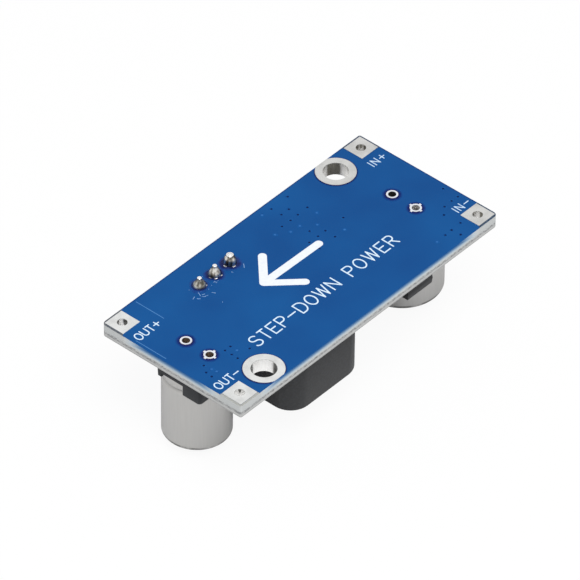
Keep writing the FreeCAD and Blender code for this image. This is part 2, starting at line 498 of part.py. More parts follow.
for s, tip_x in diode_tips:
    x0, x1 = sorted((tip_x + s * LAND_OUT, tip_x - s * DIODE_LEAD_UNDER))
    add_land(x0, x1, diode_y - half - LAND_MARGIN, diode_y + half + LAND_MARGIN)
    side_name = "+x" if s > 0 else "-x"
    solder.append(solder_on_end(tip_x, tip_x, diode_y - half, diode_y + half, side_name, DIODE_SOLDER))
for x, y, half, axis, s, side in chip_ends:
    if axis == "x":
        x0, x1 = sorted((x + s * CHIP_LAND_OUT, x - s * CHIP_LAND_IN))
        add_land(x0, x1, y - half - LAND_MARGIN, y + half + LAND_MARGIN)
        solder.append(solder_on_end(x, x, y - half, y + half, side, CHIP_SOLDER))
    else:
        y0, y1 = sorted((y + s * CHIP_LAND_OUT, y - s * CHIP_LAND_IN))
        add_land(x - half - LAND_MARGIN, x + half + LAND_MARGIN, y0, y1)
        solder.append(solder_on_end(x - half, x + half, y, y, side, CHIP_SOLDER))
pieces["component_lands"] = Part.makeCompound(lands)
pieces["surface_mount_solder"] = Part.makeCompound(solder)

os.makedirs("parts", exist_ok=True)
shift = V(-board_l / 2, -board_w / 2, -lowest)
for name, shape in pieces.items():
    placed = shape.copy()
    placed.translate(shift)
    placed.exportStep(os.path.join("parts", name + ".step"))
    volume = sum(s.Volume for s in placed.Solids)
    print(name, "solids", len(placed.Solids), "valid", placed.isValid(), "volume", round(volume, 3))
print("board", round(board_l, 3), "x", round(board_w, 3), "lowest point", round(lowest, 3))
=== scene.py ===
import math
import random

import bmesh
import bpy
from mathutils import Matrix, Vector
from mathutils.geometry import delaunay_2d_cdt


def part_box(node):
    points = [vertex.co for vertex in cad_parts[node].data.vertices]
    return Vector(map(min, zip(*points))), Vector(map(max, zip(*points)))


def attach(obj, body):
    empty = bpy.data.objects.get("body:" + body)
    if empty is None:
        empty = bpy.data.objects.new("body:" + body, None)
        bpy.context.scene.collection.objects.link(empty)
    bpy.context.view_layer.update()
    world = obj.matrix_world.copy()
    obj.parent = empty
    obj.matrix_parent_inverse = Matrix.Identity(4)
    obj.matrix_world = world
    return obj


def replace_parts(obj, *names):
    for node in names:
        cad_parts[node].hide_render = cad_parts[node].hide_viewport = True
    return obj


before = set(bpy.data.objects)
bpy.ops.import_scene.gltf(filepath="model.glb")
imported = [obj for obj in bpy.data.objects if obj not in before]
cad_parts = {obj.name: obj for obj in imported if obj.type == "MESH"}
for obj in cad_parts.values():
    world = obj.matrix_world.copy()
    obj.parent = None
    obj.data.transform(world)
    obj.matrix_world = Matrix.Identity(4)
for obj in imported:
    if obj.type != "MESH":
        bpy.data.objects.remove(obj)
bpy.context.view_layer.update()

# The bare board is a panel of woven glass cloth in epoxy resin, 1.6 mm thick, with copper foil on both faces.
# It is drilled and plated, coated with blue solder mask, and routed to its outline last, so that the pale
# glass shows round the edge.
MM = 0.001
board_low, board_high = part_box("circuit_board")
board_length, board_width, board_thickness = [(high - low) / MM for low, high in zip(board_low, board_high)]


def on_board(x, y, z=0.0):
    """Point in the frame, from millimetres along, across and above the upper face's OUT- corner."""
    return Vector((board_low.x + x * MM, board_low.y + y * MM, board_high.z + z * MM))


def colour(code):
    """Linear colour of an sRGB hex code."""
    channels = [int(code[i:i + 2], 16) / 255 for i in (1, 3, 5)]
    return [c / 12.92 if c <= 0.04045 else ((c + 0.055) / 1.055) ** 2.4 for c in channels] + [1.0]


def per_mm(size):
    """Texture scale, in cycles per metre, of features that lie this many millimetres apart."""
    return 1 / (size * MM)


def begin_material(name, surface):
    """New material whose shader has the given values on its own sockets."""
    material = bpy.data.materials.new(name)
    material.use_nodes = True
    for socket, value in surface.items():
        material.node_tree.nodes["Principled BSDF"].inputs[socket].default_value = value
    return material


def add_node(owner, kind, inputs, **settings):
    """Adds one node to a material or the world. An input takes a value, or the socket or node that feeds it,
    a node by its first output in use. "to" names the shader socket that the new node feeds."""
    feeds = settings.pop("to", None)
    node = owner.node_tree.nodes.new(kind)
    for name, value in settings.items():
        setattr(node, name, value)
    for name, value in inputs.items():
        socket = next(s for i, s in enumerate(node.inputs) if s.enabled and name in (i, s.name))
        if isinstance(value, bpy.types.Node):
            value = next(s for s in value.outputs if s.enabled)
        if isinstance(value, bpy.types.NodeSocket):
            owner.node_tree.links.new(value, socket)
        else:
            socket.default_value = value
    if feeds:
        output = next(s for s in node.outputs if s.enabled)
        owner.node_tree.links.new(output, owner.node_tree.nodes["Principled BSDF"].inputs[feeds])
    return node


def set_ramp(ramp, *stops):
    """Gives a colour ramp its stops, each a position and a hex code."""
    band = ramp.color_ramp
    while len(band.elements) < len(stops):
        band.elements.new(1.0)
    for element, (position, code) in zip(band.elements, stops):
        element.position = position
        element.color = colour(code)
    return ramp


def finish_node(name, material):
    """Gives a solid of the frame its material."""
    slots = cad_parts[name].data.materials
    slots.clear()
    slots.append(material)


def stands_upright(material, spot):
    """Node that gives 1 on a wall, where a face's normal rises by less than a half, and 0 on level faces."""
    rise = add_node(material, "ShaderNodeSeparateXYZ", {"Vector": spot["Normal"]}).outputs["Z"]
    steepness = add_node(material, "ShaderNodeMath", {0: rise}, operation="ABSOLUTE")
    return add_node(material, "ShaderNodeMath", {0: steepness, 1: 0.5}, operation="LESS_THAN")


# Blue epoxy solder mask, screen-coated and cured: a deep even blue with a soft gloss and faint orange peel.
# It thins away over the routed edge, and the pale grey laminate comes in below it, with a broken dark line
# where the cutter met the inner yarns. At the corners the edge is bare laminate from the top down.
MASK_FADES, MASK_GONE = 7.2, 3.0      # distance from a corner where it begins to thin out, and is gone
BARED_SHARE = 0.56                    # how deep into the layers of the edge a bare corner begins
YARN_W, YARN_T = 0.45, 0.12
mask = begin_material("blue_solder_mask_on_glass_epoxy", {"IOR": 1.5, "Specular IOR Level": 0.06})
spot = add_node(mask, "ShaderNodeTexCoord", {}).outputs
clouds = add_node(mask, "ShaderNodeTexNoise", {"Vector": spot["Object"], "Scale": per_mm(9.0), "Detail": 2.0})
mask_blue = set_ramp(add_node(mask, "ShaderNodeValToRGB", {"Fac": clouds}),
                     (0.3, "#114a88"), (0.7, "#145493"))
place = add_node(mask, "ShaderNodeSeparateXYZ", {"Vector": spot["Object"]}).outputs
depth = add_node(mask, "ShaderNodeMapRange", {
    "Value": place["Z"], "From Min": board_high.z, "From Max": board_low.z})
near_corner = 1.0
for axis, half in (("X", board_length / 2), ("Y", board_width / 2)):
    aside = add_node(mask, "ShaderNodeMath", {0: place[axis]}, operation="ABSOLUTE")
    near_end = add_node(mask, "ShaderNodeMapRange", {
        "Value": aside, "From Min": (half - MASK_FADES) * MM, "From Max": (half - MASK_GONE) * MM})
    near_corner = add_node(mask, "ShaderNodeMath", {0: near_end, 1: near_corner}, operation="MULTIPLY")
bared = add_node(mask, "ShaderNodeMath", {0: near_corner, 1: BARED_SHARE}, operation="MULTIPLY")
bare_depth = add_node(mask, "ShaderNodeMath", {0: depth, 1: bared}, operation="MAXIMUM")
layers = set_ramp(add_node(mask, "ShaderNodeValToRGB", {"Fac": bare_depth}),
                  (0.0, "#1f5592"), (0.1, "#47709f"), (0.2, "#7291b3"), (0.3, "#a1b4c5"), (0.4, "#bfcad2"),
                  (0.5, "#c8cccc"), (0.6, "#bdbfbf"), (0.7, "#b2b3b3"), (0.85, "#c3c4c3"), (1.0, "#a2a2a2"))
yarn_space = add_node(mask, "ShaderNodeMapping", {
    "Vector": spot["Object"], "Scale": (per_mm(YARN_W), per_mm(YARN_W), per_mm(YARN_T))})
yarns = add_node(mask, "ShaderNodeTexNoise", {
    "Vector": yarn_space, "Scale": 1.0, "Detail": 4.0, "Roughness": 0.7})
tear = add_node(mask, "ShaderNodeMapRange", {
    "Value": yarns, "From Min": 0.46, "From Max": 0.58, "To Min": 0.0, "To Max": 0.85})
torn_depth = set_ramp(add_node(mask, "ShaderNodeValToRGB", {"Fac": depth}),
                      (0.35, "#000000"), (0.52, "#808080"), (0.58, "#ffffff"), (0.72, "#ffffff"),
                      (0.8, "#707070"), (1.0, "#303030"))
specks = add_node(mask, "ShaderNodeMath", {0: tear, 1: torn_depth}, operation="MULTIPLY")
laminate = add_node(mask, "ShaderNodeMix", {
    "Factor": specks, "A": layers, "B": colour("#6d6d70")}, data_type="RGBA")
on_side = stands_upright(mask, spot)
add_node(mask, "ShaderNodeMix", {
    "Factor": on_side, "A": mask_blue, "B": laminate}, data_type="RGBA", to="Base Color")
add_node(mask, "ShaderNodeMapRange", {"Value": on_side, "To Min": 0.38, "To Max": 0.85}, to="Roughness")
peel = add_node(mask, "ShaderNodeTexNoise", {"Vector": spot["Object"], "Scale": per_mm(0.5), "Detail": 3.0})
add_node(mask, "ShaderNodeBump", {"Height": peel, "Distance": 0.02 * MM, "Strength": 0.2}, to="Normal")
finish_node("circuit_board", mask)

# The copper is cut away round each land, and there the mask lies on bare laminate and looks nearly black.
# The round openings of the spare holes have a rim of mask that falls away outwards over the foil's edge.
SHARP_ANGLE = math.radians(35)


def add_piece(name, bm, materials):
    """Makes a piece from a finished bmesh, smooth except at its sharp edges, which rides on the module."""
    bmesh.ops.recalc_face_normals(bm, faces=bm.faces)
    mesh = bpy.data.meshes.new(name)
    bm.to_mesh(mesh)
    bm.free()
    mesh.shade_smooth()
    mesh.set_sharp_from_angle(angle=SHARP_ANGLE)
    for material in materials:
        mesh.materials.append(material)
    piece = bpy.data.objects.new(name, mesh)
    bpy.context.scene.collection.objects.link(piece)
    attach(piece, "module")
    return piece


def turn(bm, centre, outline, steps, bands=(), wobble=None):
    """Turns a closed outline of (radius, height) in millimetres about the upright line through a point.
    bands gives each of its sides a material, and wobble adds a share to the radius by angle and height."""
    rings = []
    for radius, height in outline:
        if radius == 0:
            rings.append([bm.verts.new(centre + Vector((0, 0, height * MM)))])
            continue
        ring = []
        for i in range(steps):
            angle = 2 * math.pi * i / steps
            r = radius * MM * (1 + (wobble(angle, height) if wobble else 0))
            point = Vector((r * math.cos(angle), r * math.sin(angle), height * MM))
            ring.append(bm.verts.new(centre + point))
        rings.append(ring)
    for side, (low, high) in enumerate(zip(rings, rings[1:] + rings[:1])):
        if len(low) == len(high) == 1:
            continue
        for i in range(steps):
            j = (i + 1) % steps
            corners = [low[i % len(low)], low[j % len(low)], high[j % len(high)], high[i % len(high)]]
            face = bm.faces.new(list(dict.fromkeys(corners)))
            face.material_index = bands[side] if bands else 0


def mottled(name, surface, spacing, tones, detail=2.0, stops=(0.3, 0.7), relief=None):
    """New material that drifts between two tones over a spacing in millimetres. For a fine grain or grit it
    is coarser than the real one, so that it shows. relief is the drift's height and strength as bump."""
    material = begin_material(name, surface)
    spot = add_node(material, "ShaderNodeTexCoord", {}).outputs["Object"]
    drift = add_node(material, "ShaderNodeTexNoise", {
        "Vector": spot, "Scale": per_mm(spacing), "Detail": detail})
    set_ramp(add_node(material, "ShaderNodeValToRGB", {"Fac": drift}, to="Base Color"), *zip(stops, tones))
    if relief:
        add_node(material, "ShaderNodeBump", {
            "Height": drift, "Distance": relief[0] * MM, "Strength": relief[1]}, to="Normal")
    return material


def thin_mask(name, *tones):
    """Mask where no bright copper lies below it: a blue close to black, or the tone of what it thins out
    over, and duller than elsewhere. Its grit is drawn coarse enough to show."""
    surface = {"Roughness": 0.5, "IOR": 1.5, "Specular IOR Level": 0.05}
    return mottled(name, surface, 0.3, tones, stops=(0.35, 0.65))


opening_edge = thin_mask("mask_edge_in_shadow", "#10174a", "#1b235c")
over_laminate = thin_mask("blue_mask_on_bare_laminate", "#112766", "#153174")
over_foil_edge = thin_mask("blue_mask_on_the_foil_edge", "#12407d", "#154688")
SPARE_HOLES = [(4.08, 11.74), (4.08, 8.24), (38.02, 11.05), (38.02, 7.55)]
RIM_T = 0.008
rim_outline = [(0.64, 0.0), (0.64, RIM_T), (0.84, RIM_T), (1.01, RIM_T * 0.8), (1.16, RIM_T * 0.5),
               (1.16, 0.0)]
rims = bmesh.new()
for x, y in SPARE_HOLES:
    turn(rims, on_board(x, y), rim_outline, 60, bands=(0, 0, 1, 2, 2, 2))
add_piece("spare_hole_openings", rims, [opening_edge, over_laminate, over_foil_edge])
STROKE_END_STEPS = 8
SAME_POINT = 0.0001        # points of a film nearer than this, in millimetres, are joined


def lay_film(name, lines, width, thickness, material):
    """Lays lines of points, in millimetres, as one closed film on the board. Each stroke has round ends."""
    spots, outlines = [], []
    for line in lines:
        for (ax, ay), (bx, by) in zip(line, line[1:]):
            along, first = math.atan2(by - ay, bx - ax), len(spots)
            for x, y, quarter in ((bx, by, -0.5 * math.pi), (ax, ay, 0.5 * math.pi)):
                for i in range(STROKE_END_STEPS + 1):
                    angle = along + quarter + math.pi * i / STROKE_END_STEPS
                    spots.append(Vector((x + width / 2 * math.cos(angle), y + width / 2 * math.sin(angle))))
            outlines.append(list(range(first, len(spots))))
    cuts, _, patches, _, _, sources = delaunay_2d_cdt(spots, [], outlines, 1, SAME_POINT)
    film = bmesh.new()
    corners = [film.verts.new(on_board(x, y)) for x, y in cuts]
    for patch, source in zip(patches, sources):
        if source:
            film.faces.new([corners[i] for i in patch])
    bmesh.ops.delete(film, geom=[v for v in film.verts if not v.link_faces], context="VERTS")
    lifted = bmesh.ops.extrude_face_region(film, geom=film.faces[:])["geom"]
    for vertex in (v for v in lifted if isinstance(v, bmesh.types.BMVert)):
        vertex.co.z += thickness * MM
    add_piece(name, film, [material])


def bow(cx, cy, rx, ry, start, end, steps=12):
    """Points along part of an oval, from one angle in degrees to another."""
    angles = [math.radians(start + (end - start) * i / steps) for i in range(steps + 1)]
    return [(cx + rx * math.cos(a), cy + ry * math.sin(a)) for a in angles]


# A screw-hole land reaches the routed edge, so its dark outline is open there.
OUTPUT_SCREW, INPUT_SCREW, SCREW_LAND_R = (6.38, 2.29), (36.75, 18.37), 2.4
OPENING_W, HALO_W = 0.14, 0.36
screw_rings = [bow(*place, SCREW_LAND_R, SCREW_LAND_R, start, end, 60)
               for place, start, end in ((OUTPUT_SCREW, -61, 241), (INPUT_SCREW, 124, 416))]
lay_film("screw_land_openings", screw_rings, OPENING_W, RIM_T, opening_edge)
lay_film("screw_land_halos", screw_rings, HALO_W, RIM_T / 2, over_foil_edge)
# Outside a wire terminal the mask ends short of the routed edge, and a line of bare resin shows, pale glass
# at
# OUT-. At the input end and at OUT+ its dark slate and grey tones are painted shade along the edge.
EDGE_LINE_W, TERMINAL_REACH = 0.235, 2.98
line_in = EDGE_LINE_W / 2
for name, at_input, at_plus, corner_r, *tones in (
        ("pale", False, False, 0.25, "#a2a39f", "#afb0ac"), ("grey", False, True, 0.6, "#55595f", "#676b71"),
        ("slate", True, True, 0.25, "#3a4459", "#525d6d"),
        ("slate_round", True, False, 0.6, "#35455a", "#4d5d70")):
    bend = bow(corner_r, corner_r, corner_r - line_in, corner_r - line_in, 180, 270, 6)
    route = [(board_length - x if at_input else x, board_width - y if at_plus else y)
             for x, y in [(line_in, TERMINAL_REACH)] + bend + [(TERMINAL_REACH, line_in)]]
    lay_film(name + "_edge_line", [route], EDGE_LINE_W, RIM_T, thin_mask("bare_resin_" + name, *tones))

# The foils stop short of the routed edge too, so the mask is duller there, where nothing else covers it.
# One foil's own edge shows through the mask as two thin paler lines by OUT+.
EDGE_STRIP_W, FOIL_LINE_W = 0.15, 0.07
strip_x, strip_y = board_length - EDGE_STRIP_W / 2, board_width - EDGE_STRIP_W / 2
lay_film("edges_without_foil", [[(3.3, strip_y), (34.4, strip_y)], [(39.2, strip_y), (40.1, strip_y)],
                                [(strip_x, 3.3), (strip_x, 17.3)]],
         EDGE_STRIP_W, RIM_T / 2, thin_mask("blue_mask_without_foil", "#193d77", "#20457e"))
lay_film("foil_edges", [[(5.23, 20.2), (5.24, 16.09)], [(0.42, 15.83), (0.42, 11.41)]], FOIL_LINE_W,
         RIM_T / 2, thin_mask("blue_mask_on_a_raised_foil_edge", "#4f86c0", "#5f93ca"))

# Small plated holes join the two foils and are covered by the mask. Most are dark pinpricks, the dark painted
# shade in the hole. A few are filled with a pinhead of tin, so they are only a little paler than the blue
# round them.
VIA_MOUTH, VIA_SHOULDER, VIA_EDGE, VIA_T = 0.14, 0.18, 0.3, 0.012
via_outline = [(0, 0.002), (VIA_MOUTH, 0.003), (VIA_SHOULDER, VIA_T), (VIA_EDGE, 0.0), (0, 0.0)]
dark_vias = [(27.06, 19.5), (29.89, 19.55), (28.34, 18.02), (27.09, 18.02), (28.33, 16.65), (29.98, 16.69),
             (27.04, 16.62), (25.61, 16.63), (27.07, 13.81), (28.33, 12.55), (27.05, 12.53), (28.28, 11.06),
             (25.61, 12.56), (25.6, 11.06), (31.35, 12.54), (6.66, 7.48), (5.76, 7.47), (5.76, 6.5),
             (5.74, 5.59), (1.67, 6.59), (1.58, 5.71), (2.35, 7.55), (7.83, 5.69), (42.64, 7.45),
             (42.7, 5.32), (41.66, 5.36), (40.39, 5.3), (39.26, 4.43), (39.46, 2.17), (37.87, 2.12),
             (36.74, 2.07), (37.94, 0.84)]
pale_vias = [(25.59, 19.59), (29.99, 15.29), (28.5, 13.92), (27.03, 15.22), (25.57, 15.3), (24.05, 16.28),
             (29.91, 11.07), (6.69, 6.53), (2.48, 6.53), (2.6, 5.86), (35.24, 2.03)]
mask_shoulder = thin_mask("blue_mask_on_a_hole_shoulder", "#124b8a", "#155697")
for name, places, mouth in (
        ("covered_vias", dark_vias, thin_mask("painted_shade_in_a_small_hole", "#05163f", "#0a2152")),
        ("filled_vias", pale_vias, thin_mask("blue_mask_on_a_tin_pinhead", "#2a62a3", "#366eae"))):
    vias = bmesh.new()
    for x, y in places:
        turn(vias, on_board(x, y), via_outline, 20, bands=(1, 0, 0, 0, 0))
    add_piece(name, vias, [mask_shoulder, mouth])

# The printed marks are white epoxy ink, silk-screened onto the cured mask: a plain arrow towards the output,
# a line of plain capitals and the four terminal labels. The ink film is a few hundredths of a millimetre.
INK_T = 0.02
bowl = [(0, 0), (0, 1)] + bow(0.34, 0.74, 0.26, 0.26, 90, -90) + [(0, 0.48)]
# Each capital: its width against its height, and its strokes in a box of that width and a height of one.
capitals = {
    "S": (0.62, [bow(0.31, 0.755, 0.29, 0.245, 25, 270) + bow(0.31, 0.255, 0.31, 0.255, 90, -155)]),
    "T": (0.6, [[(0.04, 1), (0.56, 1)], [(0.3, 1), (0.3, 0)]]),
    "E": (0.58, [[(0.58, 1), (0, 1), (0, 0), (0.58, 0)], [(0, 0.52), (0.47, 0.52)]]),
    "P": (0.6, [bowl]),
    "R": (0.62, [bowl, [(0.3, 0.48), (0.62, 0)]]),
    "D": (0.68, [[(0, 0), (0, 1)] + bow(0.28, 0.5, 0.4, 0.5, 90, -90) + [(0, 0)]]),
    "O": (0.72, [bow(0.36, 0.5, 0.36, 0.5, 0, 360, 24)]),
    "U": (0.64, [[(0, 1)] + bow(0.32, 0.32, 0.32, 0.32, 180, 360) + [(0.64, 1)]]),
    "W": (0.92, [[(0, 1), (0.23, 0), (0.46, 1), (0.69, 0), (0.92, 1)]]),
    "N": (0.66, [[(0, 0), (0, 1), (0.66, 0), (0.66, 1)]]),
    "I": (0.0, [[(0, 0), (0, 1)]]),
    "+": (0.7, [[(0, 0.5), (0.7, 0.5)], [(0.35, 0.15), (0.35, 0.85)]]),
    "-": (0.7, [[(0, 0.5), (0.7, 0.5)]]),
}


def letter(words, x, y, height, gap):
    """Lines of a row of capitals, from its lower left corner, its height and the gap between letters."""
    lines = []
    for capital in words:
        share, strokes = capitals[capital]
        lines += [[(x + a * height, y + b * height) for a, b in stroke] for stroke in strokes]
        x += share * height + gap
    return lines


def silkscreen_ink(name, *tones):
    """White silk-screen ink, matt: near white where thick, and tinted by the blue below it in fine lines."""
    surface = {"Roughness": 0.55, "IOR": 1.5, "Specular IOR Level": 0.1}
    return mottled(name, surface, 0.4, tones, detail=3.0, stops=(0.3, 0.6))


ARROW_TIP, ARROW_ENDS, ARROW_W = (17.07, 11.78), ((26.16, 11.65), (20.35, 14.91), (20.3, 8.49)), 1.0
LINE_Y, LINE_H, LINE_STROKE = 5.15, 1.7, 0.17
OUTPUT_H, OUTPUT_STROKE, INPUT_H, INPUT_STROKE = 1.08, 0.145, 1.02, 0.125
fine_ink = silkscreen_ink("white_silkscreen_ink_in_fine_lines", "#c6dff2", "#ddeefb")
lay_film("printed_arrow", [[ARROW_TIP, end] for end in ARROW_ENDS], ARROW_W, INK_T,
         silkscreen_ink("white_silkscreen_ink", "#e4e9f1", "#edf1f6"))
lay_film("printed_line", letter("STEP-DOWN", 8.7, LINE_Y, LINE_H, gap=0.45)
         + letter("POWER", 24.5, LINE_Y, LINE_H, gap=0.53), LINE_STROKE, INK_T, fine_ink)
lay_film("output_labels", letter("OUT+", 0.72, 15.53, OUTPUT_H, gap=0.25)
         + letter("OUT-", 0.56, 3.6, OUTPUT_H, gap=0.25), OUTPUT_STROKE, INK_T, fine_ink)
lay_film("input_labels", letter("IN+", 40.33, 15.72, INPUT_H, gap=0.42)
         + letter("IN-", 40.68, 3.48, INPUT_H, gap=0.42), INPUT_STROKE, INK_T,
         silkscreen_ink("thin_white_silkscreen_ink", "#a9cbea", "#d3e6f7"))

# The lands and the barrels of the holes are copper, coated by dipping the board in molten tin and levelling
# it with hot air: four square wire terminals, two round screw-hole lands and the eyelets of spare holes.
WIRE_HOLE_IN, WIRE_HOLE_R, SCREW_HOLE_R = 1.62, 0.6, 1.5
SHADE_PATCH_SHAPE = (1.0, 1.0, 0.35)        # a patch of painted shade on a hole's wall is taller than wide
SHADE_PATCH_FADE = (0.88, 1.1)              # shares of its reach where a patch of painted shade begins to fade, and ends


def levelled_tin(where, face_tones, lit_wall_tones, shade_tone, *shade_patches):
    """Hot-air-levelled tin: pale, soft and slightly rippled on the lands. It runs down the wall of a hole in
    faint upright streaks, painted paler than the lands as painted light, and darkened in patches by painted
    shade.
    Each is given by its hole's middle and radius, its angle in degrees, its depth and its reach."""
    tin = begin_material("levelled_tin_of_the_" + where, {"Metallic": 1.0, "Roughness": 0.45})
    spot = add_node(tin, "ShaderNodeTexCoord", {}).outputs
    flow = add_node(tin, "ShaderNodeTexNoise", {
        "Vector": spot["Object"], "Scale": per_mm(1.3), "Detail": 3.0})
    face = set_ramp(add_node(tin, "ShaderNodeValToRGB", {"Fac": flow}), *zip((0.3, 0.6), face_tones))
    # The walls are painted paler than the lands, as painted light.
    run_space = add_node(tin, "ShaderNodeMapping", {
        "Vector": spot["Object"], "Scale": (per_mm(0.6), per_mm(0.6), per_mm(6.0))})
    runs = add_node(tin, "ShaderNodeTexNoise", {"Vector": run_space, "Scale": 1.0, "Detail": 2.0})
    wall = set_ramp(add_node(tin, "ShaderNodeValToRGB", {"Fac": runs}), *zip((0.35, 0.65), lit_wall_tones))
    # Patches of painted shade darken the walls.
    shaded = 0.0
    for (x, y), r, degrees, depth, reach in shade_patches:
        angle = math.radians(degrees)
        middle = on_board(x + r * math.cos(angle), y + r * math.sin(angle), -depth)
        from_middle = add_node(tin, "ShaderNodeVectorMath", {0: spot["Object"], 1: middle},
                               operation="SUBTRACT")
        flat = add_node(tin, "ShaderNodeVectorMath", {0: from_middle, 1: SHADE_PATCH_SHAPE}, operation="MULTIPLY")
        away = add_node(tin, "ShaderNodeVectorMath", {0: flat}, operation="LENGTH")
        fade = add_node(tin, "ShaderNodeMapRange", {
            "Value": away, "From Min": SHADE_PATCH_FADE[0] * reach * MM, "From Max": SHADE_PATCH_FADE[1] * reach * MM,
            "To Min": 1.0, "To Max": 0.0})
        shaded = add_node(tin, "ShaderNodeMath", {0: fade, 1: shaded}, operation="MAXIMUM")
    dull = add_node(tin, "ShaderNodeMix", {"Factor": shaded, "A": wall, "B": colour(shade_tone)},
                    data_type="RGBA")
    height = add_node(tin, "ShaderNodeSeparateXYZ", {"Vector": spot["Object"]}).outputs["Z"]
    sunk = add_node(tin, "ShaderNodeMath", {0: height, 1: board_high.z}, operation="LESS_THAN")
    in_hole = add_node(tin, "ShaderNodeMath", {0: sunk, 1: stands_upright(tin, spot)}, operation="MULTIPLY")
    add_node(tin, "ShaderNodeMix", {"Factor": in_hole, "A": face, "B": dull},
             data_type="RGBA", to="Base Color")
    add_node(tin, "ShaderNodeBump", {"Height": flow, "Distance": 0.02 * MM, "Strength": 0.4}, to="Normal")
    return tin


far_x, far_y = board_length - WIRE_HOLE_IN, board_width - WIRE_HOLE_IN
output_minus, output_plus = (WIRE_HOLE_IN, WIRE_HOLE_IN), (WIRE_HOLE_IN, far_y)
input_minus, input_plus = (far_x, WIRE_HOLE_IN), (far_x, far_y)
# Each tin: tones of its lands, paler tones of its walls as painted light, the tone of its painted shade, and
# the patches of painted shade.
output_tin = levelled_tin(
    "output_end", ("#cfd0cf", "#dedfde"), ("#f2f1ef", "#fdfdfc"), "#747472",
    (OUTPUT_SCREW, SCREW_HOLE_R, -52, 0.8, 1.3), (OUTPUT_SCREW, SCREW_HOLE_R, 135, 0.9, 1.0),
    (output_minus, WIRE_HOLE_R, 41, 0.0, 0.16), (output_plus, WIRE_HOLE_R, 5, 0.1, 0.3),
    (output_plus, WIRE_HOLE_R, 110, 0.3, 0.3))
input_tin = levelled_tin(
    "input_end", ("#bfbfbd", "#cfcfcd"), ("#dcdbd8", "#f4f3f1"), "#97958d",
    (INPUT_SCREW, SCREW_HOLE_R, 51, 0.8, 0.8), (input_plus, WIRE_HOLE_R, 95, 0.1, 0.3),
    (input_plus, WIRE_HOLE_R, 41, 0.0, 0.2), (input_plus, WIRE_HOLE_R, -15, 0.1, 0.3),
    (input_minus, WIRE_HOLE_R, -30, 0.4, 0.45), (input_minus, WIRE_HOLE_R, 115, 0.2, 0.3))
# The spare holes are brown with flux at the output end. At the input end one is painted darker down inside
# its hole, as painted shade.
ring_tones = ("#d8dade", "#e9ebf0")
browned_tin = levelled_tin("spare_holes", ring_tones, ("#a8988a", "#d8c8ba"), "#8a7c70")
greyed_tin = levelled_tin("input_spare_holes", ring_tones, ("#f0eeec", "#fbfaf9"), "#7d7976",
                          (SPARE_HOLES[2], 0.0, 0, 0.8, 1.6))
for tin, names in (
        (output_tin, ("output_positive_terminal", "output_negative_terminal", "output_screw_hole_land")),
        (input_tin, ("input_positive_terminal", "input_negative_terminal", "input_screw_hole_land",
                     "component_lands")),
        (browned_tin, ("output_spare_eyelets", "trimmer_eyelets")), (greyed_tin, ("input_spare_eyelets",))):
    for name in names:
        finish_node(name, tin)

# The trimmer's three pins are tinned copper wire, pushed through their holes, soldered from this side and
# clipped. Each joint is a cone of tin solder that climbs the wire, with hard burnt flux round its foot.
PIN_PLACES = [(11.94, 16.79), (14.48, 16.79), (17.02, 16.79)]
PIN_TIPS, PIN_R, PIN_FOOT, CLIPPED_EDGE = (1.21, 1.38, 1.31), 0.25, -2.1, 0.03
# Radius of the solder inside the hole, and the heights where its cone begins and where it leans no more.
JOINT_R, JOINT_FOOT, JOINT_UPRIGHT = 0.45, 0.08, 1.3
joint_flanks = [
    [(0.78, 0.08), (0.77, 0.16), (0.72, 0.3), (0.64, 0.45), (0.53, 0.61), (0.42, 0.77), (0.33, 0.93),
     (0.275, 1.08), (0.262, 1.14)],
    [(0.78, 0.08), (0.77, 0.18), (0.72, 0.36), (0.64, 0.55), (0.53, 0.74), (0.42, 0.93), (0.33, 1.1),
     (0.275, 1.26), (0.262, 1.32)],
    [(0.77, 0.08), (0.76, 0.2), (0.74, 0.4), (0.71, 0.58), (0.68, 0.76), (0.61, 0.94), (0.51, 1.1),
     (0.44, 1.22), (0.43, 1.28), (0.4, 1.305), (0.33, 1.31)]]
draw = random.Random(7)
joints, pins = bmesh.new(), bmesh.new()
for (x, y), flank, tip in zip(PIN_PLACES, joint_flanks, PIN_TIPS):
    lean, phase = draw.uniform(0.02, 0.04), draw.uniform(0, 2 * math.pi)

    def slump(angle, height, lean=lean, phase=phase):
        return lean * math.cos(2 * angle + phase) * max(0.0, 1 - height / JOINT_UPRIGHT)
    profile = flank + [(PIN_R, flank[-1][1]), (PIN_R, -board_thickness), (JOINT_R, -board_thickness),
                       (JOINT_R, JOINT_FOOT)]
    froze_slowly = x == PIN_PLACES[0][0]
    turn(joints, on_board(x, y), profile, 72, bands=[int(froze_slowly)] * len(profile), wobble=slump)
    turn(pins, on_board(x, y), [(0, tip), (PIN_R - CLIPPED_EDGE, tip), (PIN_R, tip - CLIPPED_EDGE),
                                (PIN_R, PIN_FOOT), (0, PIN_FOOT)], 40)


